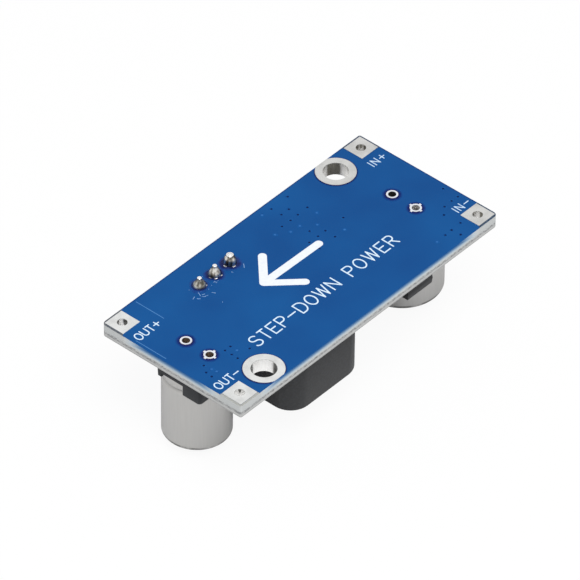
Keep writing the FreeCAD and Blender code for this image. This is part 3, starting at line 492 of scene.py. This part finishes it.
def joint_solder(name, roughness, dark, middle, bright):
    """Solder, with painted light: a painted highlight on top, and down its flanks painted reflections,
    streaked with the dark that it mirrors. The joint nearest the output end froze slowly, and its flanks are
    duller and more even."""
    solder = begin_material(name, {"Metallic": 1.0, "Roughness": roughness})
    spot = add_node(solder, "ShaderNodeTexCoord", {}).outputs
    streak_space = add_node(solder, "ShaderNodeMapping", {
        "Vector": spot["Object"], "Location": (3.4, 1.8, 0.0),
        "Scale": (per_mm(0.42), per_mm(0.42), per_mm(1.8))})
    streaks = add_node(solder, "ShaderNodeTexNoise", {"Vector": streak_space, "Scale": 1.0, "Detail": 2.0})
    # The streaks' tones are painted reflections.
    flank_tone = set_ramp(add_node(solder, "ShaderNodeValToRGB", {"Fac": streaks}),
                          (0.36, dark), (0.5, middle), (0.64, bright))
    facing = add_node(solder, "ShaderNodeSeparateXYZ", {"Vector": spot["Normal"]}).outputs["Z"]
    # Faces turned upwards get a painted highlight.
    painted_highlight_on_top = add_node(solder, "ShaderNodeMapRange", {"Value": facing, "From Min": 0.75, "From Max": 0.95})
    add_node(solder, "ShaderNodeMix", {"Factor": painted_highlight_on_top, "A": flank_tone, "B": colour("#eeedeb")},
             data_type="RGBA", to="Base Color")
    add_node(solder, "ShaderNodeBump", {
        "Height": streaks, "Distance": 0.05 * MM, "Strength": 0.5}, to="Normal")
    return solder


# Clipped wire end: bare bright metal with the shear marks of the cutters.
clipped_wire = begin_material("clipped_tinned_wire", {"Metallic": 1.0, "Roughness": 0.35})
spot = add_node(clipped_wire, "ShaderNodeTexCoord", {}).outputs["Object"]
shear = add_node(clipped_wire, "ShaderNodeTexWave", {"Vector": spot, "Scale": per_mm(0.3), "Distortion": 2.0})
set_ramp(add_node(clipped_wire, "ShaderNodeValToRGB", {"Fac": shear.outputs["Fac"]}, to="Base Color"),
         (0.2, "#dddcdb"), (0.8, "#f6f6f5"))
quick_solder = joint_solder("quickly_frozen_solder", 0.27, "#34302a", "#8f8a82", "#dedbd4")
slow_solder = joint_solder("slowly_frozen_solder", 0.3, "#55534c", "#918e86", "#cac7bf")
cones = add_piece("trimmer_joint_cones", joints, [quick_solder, slow_solder])
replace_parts(cones, "trimmer_solder_joints")
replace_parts(add_piece("trimmer_pin_ends", pins, [clipped_wire]), "trimmer_pins")


def burnt_flux(name, *tones):
    """Flux: a thin glassy skin of burnt rosin that covers most of an eyelet and thins out over the blue."""
    surface = {"Roughness": 0.3, "IOR": 1.52, "Specular IOR Level": 0.08}
    return mottled(name, surface, 0.5, tones, 3.0, (0.35, 0.65), relief=(0.03, 0.4))


# Height of the skin at the foot of a joint. Above the second height it draws back from the joint in places,
# and below the third its outer edge wanders.
SKIN_TOP, SKIN_UPPER, SKIN_LOWER = 0.105, 0.1, 0.08
DRAWN_BACK, WANDER = 0.16, 0.07       # as shares of the radius
# How far the flux runs, and the arcs in degrees where it leaves the foot of the joint bare.
flux_runs = [(1.18, [(300, 322)]), (1.16, [(168, 200), (222, 246), (285, 306)]),
             (1.3, [(160, 196), (244, 280)])]
flux = bmesh.new()
for (x, y), (reach, open_arcs) in zip(PIN_PLACES, flux_runs):
    phases = [draw.uniform(0, 2 * math.pi) for _ in range(3)]

    def creep(angle, height, phases=phases, open_arcs=open_arcs):
        if height > SKIN_UPPER:
            return DRAWN_BACK if any(a < math.degrees(angle) < b for a, b in open_arcs) else 0.0
        if height < SKIN_LOWER:
            return sum(WANDER / (k + 1) * math.sin((k + 2) * angle + p) for k, p in enumerate(phases))
        return 0.0
    skin = [(0.77, 0.0), (0.77, SKIN_TOP), (0.92, 0.09), (reach * 0.8, 0.035), (reach * 0.92, 0.016),
            (reach * 1.05, 0.006), (reach * 1.05, 0.0)]
    turn(flux, on_board(x, y), skin, 90, wobble=creep,
         bands=(0, 0, 1, 2, 2, 2, 2) if x == PIN_PLACES[0][0] else (0, 0, 0, 1, 2, 2, 2))
add_piece("flux_residue", flux, [burnt_flux("burnt_rosin_flux", "#141b4a", "#1b2c64"),
                                 burnt_flux("thinning_rosin_flux", "#15296a", "#183c7c"),
                                 burnt_flux("rosin_flux_at_its_edge", "#143f80", "#154b8c")])
# Spatter: crumbs and thin dried runs of clear rosin, painted pale blue and white as painted glints where they
# catch the light.
rosin_with_painted_glints = mottled("rosin_crumbs_with_painted_glints", {"Roughness": 0.3, "IOR": 1.52}, 0.08, ("#3f74b0", "#9dbde0"),
                      stops=(0.4, 0.6))
CRUMB_SIDES, CRUMB_H, CRUMB_UNEVEN = 12, 0.05, 0.3
crumbs = bmesh.new()
for x, y, size in ((10.64, 17.16, 0.06), (11.27, 16.0, 0.06), (10.95, 16.05, 0.07), (11.12, 15.48, 0.07),
                   (10.2, 15.46, 0.08), (10.36, 15.29, 0.07), (10.28, 15.37, 0.09), (11.6, 13.06, 0.06),
                   (13.99, 15.85, 0.06), (13.6, 15.95, 0.06), (17.56, 15.14, 0.06), (12.89, 15.82, 0.06),
                   (13.3, 17.56, 0.05), (13.72, 15.72, 0.05), (12.15, 15.62, 0.05)):
    bumps = [draw.uniform(-CRUMB_UNEVEN, CRUMB_UNEVEN) for _ in range(CRUMB_SIDES)]

    def ragged(angle, height, bumps=bumps):
        return bumps[int(angle / (2 * math.pi) * CRUMB_SIDES) % CRUMB_SIDES]
    crumb = [(0, CRUMB_H), (size * 0.6, CRUMB_H * 0.8), (size, 0.0), (0, 0.0)]
    turn(crumbs, on_board(x, y), crumb, CRUMB_SIDES, wobble=ragged)
add_piece("rosin_crumbs", crumbs, [rosin_with_painted_glints])
RUN_W, RUN_T = 0.075, 0.012
rosin_runs = [[(10.91, 16.6), (11.03, 16.34), (10.93, 15.95), (10.73, 15.55)],
              [(11.02, 15.55), (11.3, 15.42)], [(9.77, 15.8), (10.16, 15.93)],
              [(10.75, 15.34), (11.0, 15.12), (11.38, 15.02)],
              [(13.41, 15.98), (13.64, 16.02), (13.56, 15.71)], [(12.02, 14.99), (12.22, 14.65)],
              [(16.05, 15.7), (16.11, 15.5)], [(17.99, 15.61), (17.6, 15.16)]]
lay_film("dried_rosin_runs", rosin_runs, RUN_W, RUN_T, rosin_with_painted_glints)

# The trimmer is a moulded nylon box, closed towards the board by cast epoxy. A slotted brass screw turns in
# its bore and sets the module's output.
SAME_CORNER, SAME_PLANE, ROUNDED_FROM = 0.0005, math.radians(0.5), math.radians(32)


def soften(name, edge, material, body="module"):
    """Copy of a solid with its sharp edges rounded by a width in millimetres, which stands for it and has its
    material. Faces in one plane are joined first."""
    bm = bmesh.new()
    bm.from_mesh(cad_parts[name].data)
    bmesh.ops.remove_doubles(bm, verts=bm.verts, dist=SAME_CORNER * MM)
    bmesh.ops.dissolve_limit(bm, angle_limit=SAME_PLANE, verts=bm.verts, edges=bm.edges)
    mesh = bpy.data.meshes.new(name + "_finished")
    bm.to_mesh(mesh)
    bm.free()
    mesh.shade_smooth()
    mesh.materials.append(material)
    piece = bpy.data.objects.new(mesh.name, mesh)
    bpy.context.scene.collection.objects.link(piece)
    rounding = piece.modifiers.new("edges", "BEVEL")
    rounding.width = edge * MM
    rounding.segments = 3
    rounding.limit_method = "ANGLE"
    rounding.angle_limit = ROUNDED_FROM
    rounding.harden_normals = True
    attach(piece, body)
    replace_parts(piece, name)


# Moulded blue nylon: an even mid blue with a fine spark-eroded grain and a low sheen.
blue_nylon = mottled("moulded_blue_nylon", {"Roughness": 0.42, "IOR": 1.53}, 0.12, ("#1d52a3", "#2560b6"),
                     relief=(0.01, 0.4))
soften("trimmer_case", 0.1, blue_nylon)
# Cast epoxy: cream grey, self-levelled, with a glossy skin.
cast_epoxy = mottled("cast_epoxy", {"Roughness": 0.25, "IOR": 1.55}, 1.6, ("#8d8c82", "#a3a196"))
finish_node("trimmer_resin", cast_epoxy)
# Turned brass: warm yellow, tarnished in patches, with fine rings from the lathe on its end. They are drawn
# coarser than the real ones, so that they show.
turned_brass = mottled("turned_brass", {"Metallic": 1.0, "Roughness": 0.28}, 0.7, ("#b08a3c", "#dcbc6c"), 3.0,
                       (0.35, 0.65))
screw_low, screw_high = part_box("trimmer_screw")
spot = add_node(turned_brass, "ShaderNodeTexCoord", {}).outputs["Object"]
from_axis = add_node(turned_brass, "ShaderNodeVectorMath", {0: spot, 1: (screw_low + screw_high) / 2},
                     operation="SUBTRACT")
rings = add_node(turned_brass, "ShaderNodeTexWave", {
    "Vector": from_axis, "Scale": per_mm(0.9), "Distortion": 0.3}, wave_type="RINGS", rings_direction="Z")
add_node(turned_brass, "ShaderNodeBump", {
    "Height": rings.outputs["Fac"], "Distance": 0.012 * MM, "Strength": 0.5}, to="Normal")
soften("trimmer_screw", 0.04, turned_brass, body="adjusting_screw")

# The two electrolytic capacitors are drawn aluminium cans, crimped onto a rubber bung and seated in a black
# moulded base whose corner posts hold the can. Their ends are scored to vent, and inked on the negative side.
CRIMP_DOWN, CRIMP_DEPTH, CRIMP_HALF, CRIMP_STEPS, WALL_DOWN = 1.36, 0.24, 0.36, 12, 0.6
END_EDGE_R, END_EDGE_STEPS, END_FLAT_T = 0.38, 8, 0.01
# As shares of the can's radius: a score's length, the reach of its dark bottom and the ink's straight side.
SCORE_LENGTH, SCORE_SHADED, INK_CHORD = 1.1, 0.8, 0.42
SCORE_W, SCORE_DEPTH, INK_IN, INK_STEPS, END_INK_T = 0.22, 0.1, 0.45, 48, 0.01


def can_outline(r, top, end):
    """Outline of a drawn can, with its rolled shoulder, crimp groove and rounded end, in millimetres."""
    crimp = top - CRIMP_DOWN
    points = [(0, top), (r - 0.3, top), (r - 0.12, top - 0.06), (r - 0.02, top - 0.18), (r, top - 0.3)]
    for i in range(CRIMP_STEPS + 1):
        share = i / CRIMP_STEPS
        depth = CRIMP_DEPTH * math.sin(math.pi * share) ** 1.5
        points.append((r - depth, crimp + CRIMP_HALF - 2 * CRIMP_HALF * share))
    points.append((r, crimp - WALL_DOWN))
    for i in range(END_EDGE_STEPS + 1):
        angle = math.pi / 2 * i / END_EDGE_STEPS
        points.append((r - END_EDGE_R * (1 - math.cos(angle)), end + END_EDGE_R * (1 - math.sin(angle))))
    return points + [(0, end)]


def plate(bm, rim, low, high):
    """Closed plate between two heights, from the corners of its outline in order."""
    upper = [bm.verts.new((x, y, high)) for x, y in rim]
    under = [bm.verts.new((x, y, low)) for x, y in rim]
    bm.faces.new(upper)
    bm.faces.new(under[::-1])
    for i in range(len(rim)):
        j = (i + 1) % len(rim)
        bm.faces.new((upper[i], upper[j], under[j], under[i]))


# Drawn aluminium, bare and satin: light grey with very fine marks along the draw, drawn coarser so that they
# show. Painted shade darkens the crimp groove and, in broken patches, the rounded edge of its closed end.
# Both cans reach equally far down, so the output can gives the heights.
aluminium = begin_material("satin_drawn_aluminium", {"Metallic": 1.0, "Roughness": 0.4})
spot = add_node(aluminium, "ShaderNodeTexCoord", {}).outputs["Object"]
draw_space = add_node(aluminium, "ShaderNodeMapping", {
    "Vector": spot, "Scale": (per_mm(0.16), per_mm(0.16), per_mm(4.0))})
draw_lines = add_node(aluminium, "ShaderNodeTexNoise", {"Vector": draw_space, "Scale": 1.0, "Detail": 4.0})
satin = set_ramp(add_node(aluminium, "ShaderNodeValToRGB", {"Fac": draw_lines}),
                 (0.3, "#b3b2b0"), (0.7, "#b7b6b4"))
can_low, can_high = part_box("output_capacitor_can")
height = add_node(aluminium, "ShaderNodeSeparateXYZ", {"Vector": spot}).outputs["Z"]
# Painted shade: a broken dark band round the rounded edge of the end.
from_end = add_node(aluminium, "ShaderNodeMapRange", {
    "Value": height, "From Min": can_low.z, "From Max": can_low.z + 1.0 * MM})
end_edge = set_ramp(add_node(aluminium, "ShaderNodeValToRGB", {"Fac": from_end}),
                    (0.1, "#000000"), (0.2, "#e8e8e8"), (0.42, "#e8e8e8"), (0.54, "#000000"))
edge_shade_noise = add_node(aluminium, "ShaderNodeTexNoise", {"Vector": spot, "Scale": per_mm(2.5), "Detail": 4.0})
edge_shade_breaks = add_node(aluminium, "ShaderNodeMapRange", {"Value": edge_shade_noise, "From Min": 0.45, "From Max": 0.56})
end_edge_shade = add_node(aluminium, "ShaderNodeMath", {0: end_edge, 1: edge_shade_breaks}, operation="MULTIPLY")
# Painted shade: a dark line in the crimp groove.
from_crimp = add_node(aluminium, "ShaderNodeMath", {0: height, 1: can_high.z - CRIMP_DOWN * MM},
                      operation="SUBTRACT")
off_crimp = add_node(aluminium, "ShaderNodeMath", {0: from_crimp}, operation="ABSOLUTE")
crimp_shade = add_node(aluminium, "ShaderNodeMapRange", {
    "Value": off_crimp, "From Min": 0.28 * MM, "From Max": 0.04 * MM, "To Min": 0.0, "To Max": 0.35})
painted_shade = add_node(aluminium, "ShaderNodeMath", {0: end_edge_shade, 1: crimp_shade}, operation="MAXIMUM")
add_node(aluminium, "ShaderNodeMix", {
    "Factor": painted_shade, "A": satin, "B": colour("#61615f")}, data_type="RGBA", to="Base Color")
add_node(aluminium, "ShaderNodeBump", {
    "Height": draw_lines, "Distance": 0.003 * MM, "Strength": 0.08}, to="Normal")
# Pressed score on the can's end: the bottom of the groove is painted dark, as painted shade.
shaded_score_groove = mottled("shaded_score_groove", {"Metallic": 1.0, "Roughness": 0.55}, 0.2,
                           ("#4b4b4c", "#6a6a6a"), stops=(0.35, 0.65))
# Black ink on the can's end: slightly raised, semi-matt, and thinner in places.
black_ink = mottled("black_marking_ink", {"Roughness": 0.5, "IOR": 1.5}, 0.7, ("#19191c", "#28282b"), 3.0,
                    (0.35, 0.65))
# Moulded black resin of the base: charcoal, close to matt, with a fine grain.
black_resin = mottled("moulded_black_resin", {"Roughness": 0.5, "IOR": 1.55, "Specular IOR Level": 0.2}, 0.18,
                      ("#1f2124", "#292b2e"), 3.0, relief=(0.01, 0.5))
# Tin plate over copper or iron: soft silver grey, slightly uneven.
tin_plate = mottled("tin_plate", {"Metallic": 1.0, "Roughness": 0.34}, 0.6, ("#b7b7b5", "#cfcfcd"), 3.0)
for end in ("output", "input"):
    low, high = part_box(end + "_capacitor_can")
    axis = Vector(((low.x + high.x) / 2, (low.y + high.y) / 2, 0))
    can_r = (high.x - low.x) / 2 / MM
    can = bmesh.new()
    turn(can, axis, can_outline(can_r, high.z / MM, low.z / MM), 144)
    shell = add_piece(end + "_can_shell", can, [aluminium, shaded_score_groove])
    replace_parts(shell, end + "_capacitor_can")
    for angle in (45, 135):
        score = bmesh.new()
        bmesh.ops.create_cube(score, size=1.0, matrix=Matrix.Translation(axis + Vector((0, 0, low.z)))
                              @ Matrix.Rotation(math.radians(angle), 4, "Z")
                              @ Matrix.Diagonal((SCORE_LENGTH * can_r * MM, SCORE_W * MM,
                                                 2 * SCORE_DEPTH * MM, 1)))
        cutter = bpy.data.objects.new(end + "_score", bpy.data.meshes.new(end + "_score"))
        score.to_mesh(cutter.data)
        score.free()
        bpy.context.scene.collection.objects.link(cutter)
        cut = shell.modifiers.new("score", "BOOLEAN")
        cut.object = cutter
        cut.operation = "DIFFERENCE"
        bpy.context.view_layer.objects.active = shell
        bpy.ops.object.modifier_apply(modifier="score")
        bpy.data.objects.remove(cutter)
    # Faces at the bottom of a score take its painted shade.
    for face in shell.data.polygons:
        in_groove = END_FLAT_T * MM < face.center.z - low.z < (SCORE_DEPTH + END_FLAT_T) * MM
        if in_groove and (face.center - axis).xy.length < SCORE_SHADED * can_r * MM:
            face.material_index = 1
    shell.data.set_sharp_from_angle(angle=SHARP_ANGLE)
    inked_r = can_r - INK_IN
    half_angle = math.acos(INK_CHORD * can_r / inked_r)
    rim_angles = [half_angle * (2 * i / INK_STEPS - 1) for i in range(INK_STEPS + 1)]
    rim = [(axis.x + inked_r * math.sin(a) * MM, axis.y - inked_r * math.cos(a) * MM) for a in rim_angles]
    segment = bmesh.new()
    plate(segment, rim, low.z - END_INK_T * MM, low.z)
    add_piece(end + "_negative_mark", segment, [black_ink])
    soften(end + "_capacitor_base", 0.07, black_resin)
    finish_node(end + "_capacitor_feet", tin_plate)

# The inductor is a ferrite drum wound with copper, glued inside a square pressed ferrite sleeve on a header.
# Its ends are soldered to two tinned tabs under the header.
finish_node("inductor_header", black_resin)
finish_node("inductor_tabs", tin_plate)
finish_node("inductor_adhesive", cast_epoxy)
# Pressed and sintered ferrite: dark graphite grey and matt, with the fine grain of its crystals.
ferrite = mottled("sintered_ferrite", {"Roughness": 0.5, "IOR": 1.8, "Specular IOR Level": 0.16}, 0.25,
                  ("#222325", "#2e2f31"), 5.0, relief=(0.012, 0.5))
soften("inductor_sleeve", 0.1, ferrite)
finish_node("inductor_drum", ferrite)
# Enamelled copper wire: orange brown under clear varnish, banded by its turns.
enamelled_copper = begin_material("enamelled_copper_wire", {
    "Metallic": 1.0, "Roughness": 0.3, "Coat Weight": 0.6, "Coat Roughness": 0.15})
spot = add_node(enamelled_copper, "ShaderNodeTexCoord", {}).outputs["Object"]
turns = add_node(enamelled_copper, "ShaderNodeTexWave", {
    "Vector": spot, "Scale": per_mm(0.7), "Distortion": 0.4}, bands_direction="Z")
set_ramp(add_node(enamelled_copper, "ShaderNodeValToRGB", {"Fac": turns.outputs["Fac"]}, to="Base Color"),
         (0.2, "#5a2410"), (0.8, "#b4622e"))
finish_node("inductor_winding", enamelled_copper)

# The regulator is an epoxy moulding on a thick tinned copper tab that carries the heat into the board, with
# five tinned leads bent down in a gull wing.
PARTING_HALF = 0.065


def moulding_compound(part):
    """Moulding compound, transfer-moulded: near black and matt, with a fine even grain that is drawn coarse
    enough to show. The halves of the mould meet in a thin dark line round the middle of its sides."""
    low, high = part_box(part + "_body")
    compound = begin_material("moulding_compound_of_the_" + part, {
        "Roughness": 0.55, "IOR": 1.55, "Specular IOR Level": 0.25})
    spot = add_node(compound, "ShaderNodeTexCoord", {}).outputs["Object"]
    grain = add_node(compound, "ShaderNodeTexNoise", {"Vector": spot, "Scale": per_mm(0.15), "Detail": 4.0})
    body = set_ramp(add_node(compound, "ShaderNodeValToRGB", {"Fac": grain}),
                    (0.3, "#1b1c1e"), (0.7, "#26272a"))
    height = add_node(compound, "ShaderNodeSeparateXYZ", {"Vector": spot}).outputs["Z"]
    at_parting = add_node(compound, "ShaderNodeMath", {
        0: height, 1: (low.z + high.z) / 2, 2: PARTING_HALF * MM}, operation="COMPARE")
    add_node(compound, "ShaderNodeMix", {"Factor": at_parting, "A": body, "B": colour("#0c0c0d")},
             data_type="RGBA", to="Base Color")
    add_node(compound, "ShaderNodeBump", {
        "Height": grain, "Distance": 0.012 * MM, "Strength": 0.5}, to="Normal")
    return compound


soften("regulator_body", 0.08, moulding_compound("regulator"))
finish_node("regulator_tab", tin_plate)
finish_node("regulator_leads", tin_plate)

# The rectifier diode is a small moulded block with ribbon leads folded under it. A pale band is burnt
# across its outer face at the cathode end.
soften("diode_body", 0.06, moulding_compound("diode"))
finish_node("diode_leads", tin_plate)
# Pale laser-burnt band: the filler of the compound laid bare, so a dull light grey.
burnt_band = mottled("laser_burnt_compound", {"Roughness": 0.8, "IOR": 1.55, "Specular IOR Level": 0.2}, 0.12,
                     ("#8b8c8b", "#a9aaa8"), stops=(0.35, 0.65))
BAND_IN, BAND_W, BAND_END_IN, BAND_T = 0.45 * MM, 0.5 * MM, 0.16 * MM, 0.006 * MM
diode_low, diode_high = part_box("diode_body")
near_x, near_y = diode_high.x - BAND_IN, diode_low.y + BAND_END_IN
far_x, far_y = near_x - BAND_W, diode_high.y - BAND_END_IN
band = bmesh.new()
plate(band, [(near_x, near_y), (far_x, near_y), (far_x, far_y), (near_x, far_y)],
      diode_low.z - BAND_T, diode_low.z + BAND_T)
add_piece("cathode_band", band, [burnt_band])

# The chip parts are fired ceramic blocks with tinned ends: a resistor and two capacitors. The resistor's
# alumina has a black, glossy glaze. The bare barium titanate of the capacitors is tan and close to matt.
black_glaze = mottled("black_glaze_on_alumina", {"Roughness": 0.25, "IOR": 1.6}, 0.2, ("#17181a", "#232427"))
titanate = mottled("fired_titanate_ceramic", {"Roughness": 0.5, "IOR": 2.0, "Specular IOR Level": 0.4}, 0.2,
                   ("#8f6a45", "#a57d56"))
for part, ceramic in (("feedback_resistor", black_glaze), ("feedback_capacitor", titanate),
                      ("input_bypass_capacitor", titanate)):
    finish_node(part + "_body", ceramic)
    finish_node(part + "_ends", tin_plate)

# Reflowed solder fillets hold the surface-mounted parts to their lands. They are printed as paste and melted
# in an oven, so they are satin and even, and a little darker than the tin of the lands.
finish_node("surface_mount_solder", mottled("reflowed_solder", {"Metallic": 1.0, "Roughness": 0.32}, 0.5,
                                            ("#a9a8a4", "#cbcac6"), 3.0, (0.35, 0.65)))

# The set: a white surround, a white floor that keeps a soft shadow, and plain soft light from above. The
# surround lights the object at a plain level, but is full white where it is seen or mirrored.
LIGHT_LEVEL, FLOOR_HALF = 0.5, 3.0
SHARE_SEEN, SHARE_MIRRORED = 0.93, 0.1      # how much of the floor's own shading is taken over by plain white
world = bpy.data.worlds.new("plain_white_surround")
bpy.context.scene.world = world
world.use_nodes = True
surround = world.node_tree.nodes["Background"].inputs
rays = add_node(world, "ShaderNodeLightPath", {}).outputs
seen = add_node(world, "ShaderNodeMath", {0: rays["Is Camera Ray"], 1: rays["Is Glossy Ray"]},
                operation="MAXIMUM")
seen_through = add_node(world, "ShaderNodeMath", {0: seen, 1: rays["Is Transmission Ray"]},
                        operation="MAXIMUM")
strength = add_node(world, "ShaderNodeMapRange", {
    "Value": seen_through, "To Min": LIGHT_LEVEL, "To Max": 1.0})
world.node_tree.links.new(strength.outputs["Result"], surround["Strength"])
surround["Color"].default_value = (1, 1, 1, 1)

floor_mesh = bpy.data.meshes.new("floor")
floor_corners = [(x * FLOOR_HALF, y * FLOOR_HALF, 0) for x, y in ((-1, -1), (1, -1), (1, 1), (-1, 1))]
floor_mesh.from_pydata(floor_corners, [], [(0, 1, 2, 3)])
floor = bpy.data.objects.new("floor", floor_mesh)
bpy.context.scene.collection.objects.link(floor)
# White paper: matt, with its own shading mostly taken over by plain white, and clear from below.
white_floor = begin_material("white_floor", {
    "Base Color": colour("#f4f4f4"), "Roughness": 0.9, "Specular IOR Level": 0.0})
paper, output = [white_floor.node_tree.nodes[name] for name in ("Principled BSDF", "Material Output")]
rays = add_node(white_floor, "ShaderNodeLightPath", {}).outputs
seen = add_node(white_floor, "ShaderNodeMath", {0: rays["Is Camera Ray"], 1: SHARE_SEEN},
                operation="MULTIPLY")
bounced = add_node(white_floor, "ShaderNodeMath", {0: rays["Is Glossy Ray"], 1: rays["Is Transmission Ray"]},
                   operation="MAXIMUM")
mirrored = add_node(white_floor, "ShaderNodeMath", {0: bounced, 1: SHARE_MIRRORED}, operation="MULTIPLY")
share = add_node(white_floor, "ShaderNodeMath", {0: seen, 1: mirrored}, operation="MAXIMUM")
glow = add_node(white_floor, "ShaderNodeEmission", {})
from_above = add_node(white_floor, "ShaderNodeMixShader", {0: share, 1: paper, 2: glow})
under_side = add_node(white_floor, "ShaderNodeNewGeometry", {}).outputs["Backfacing"]
clear = add_node(white_floor, "ShaderNodeBsdfTransparent", {})
both_ways = add_node(white_floor, "ShaderNodeMixShader", {0: under_side, 1: from_above, 2: clear})
white_floor.node_tree.links.new(both_ways.outputs[0], output.inputs["Surface"])
floor_mesh.materials.append(white_floor)

# One softbox hangs over the output end and the negative edge, and aims at the board. It throws the soft
# shadow, and the metals and the mask mirror it.
SOFTBOX_PLACE, SOFTBOX_AIM = Vector((-0.2, -0.32, 0.8)), Vector((0, 0, 0.01))
lamp = bpy.data.lights.new("overhead_softbox", "AREA")
lamp.size, lamp.energy = 0.6, 6.1
softbox = bpy.data.objects.new("overhead_softbox", lamp)
softbox.location = SOFTBOX_PLACE
softbox.rotation_euler = (SOFTBOX_AIM - SOFTBOX_PLACE).to_track_quat("-Z", "Y").to_euler()
bpy.context.scene.collection.objects.link(softbox)

# The camera stands where the photograph was taken from: a long lens, nearly a metre away, above the output
# end and the negative edge.
AZIMUTH, ELEVATION, ROLL = math.radians(-139.05476), math.radians(41.27085), math.radians(0.68241)
DISTANCE, ASIDE, ALOFT = 882.904, 5.35504, 12.78920
FOCAL_PIXELS, FRAME_PIXELS, SENSOR = 8086.495, 580, 36.0
back = Vector((math.cos(AZIMUTH) * math.cos(ELEVATION), math.sin(AZIMUTH) * math.cos(ELEVATION),
               math.sin(ELEVATION)))
level_right = Vector((0, 0, 1)).cross(back).normalized()
level_up = back.cross(level_right)
right = math.cos(ROLL) * level_right + math.sin(ROLL) * level_up
up = -math.sin(ROLL) * level_right + math.cos(ROLL) * level_up
lens = bpy.data.cameras.new("camera")
lens.sensor_width = SENSOR
lens.lens = FOCAL_PIXELS / FRAME_PIXELS * SENSOR
lens.clip_start, lens.clip_end = 0.05, 20
camera = bpy.data.objects.new("camera", lens)
stand = on_board(0, 0) + (right * ASIDE + up * ALOFT + back * DISTANCE) * MM
camera.matrix_world = Matrix.Translation(stand) @ Matrix((right, up, back)).transposed().to_4x4()
bpy.context.scene.collection.objects.link(camera)
bpy.context.scene.camera = camera
bpy.context.scene.view_settings.view_transform = "Standard"
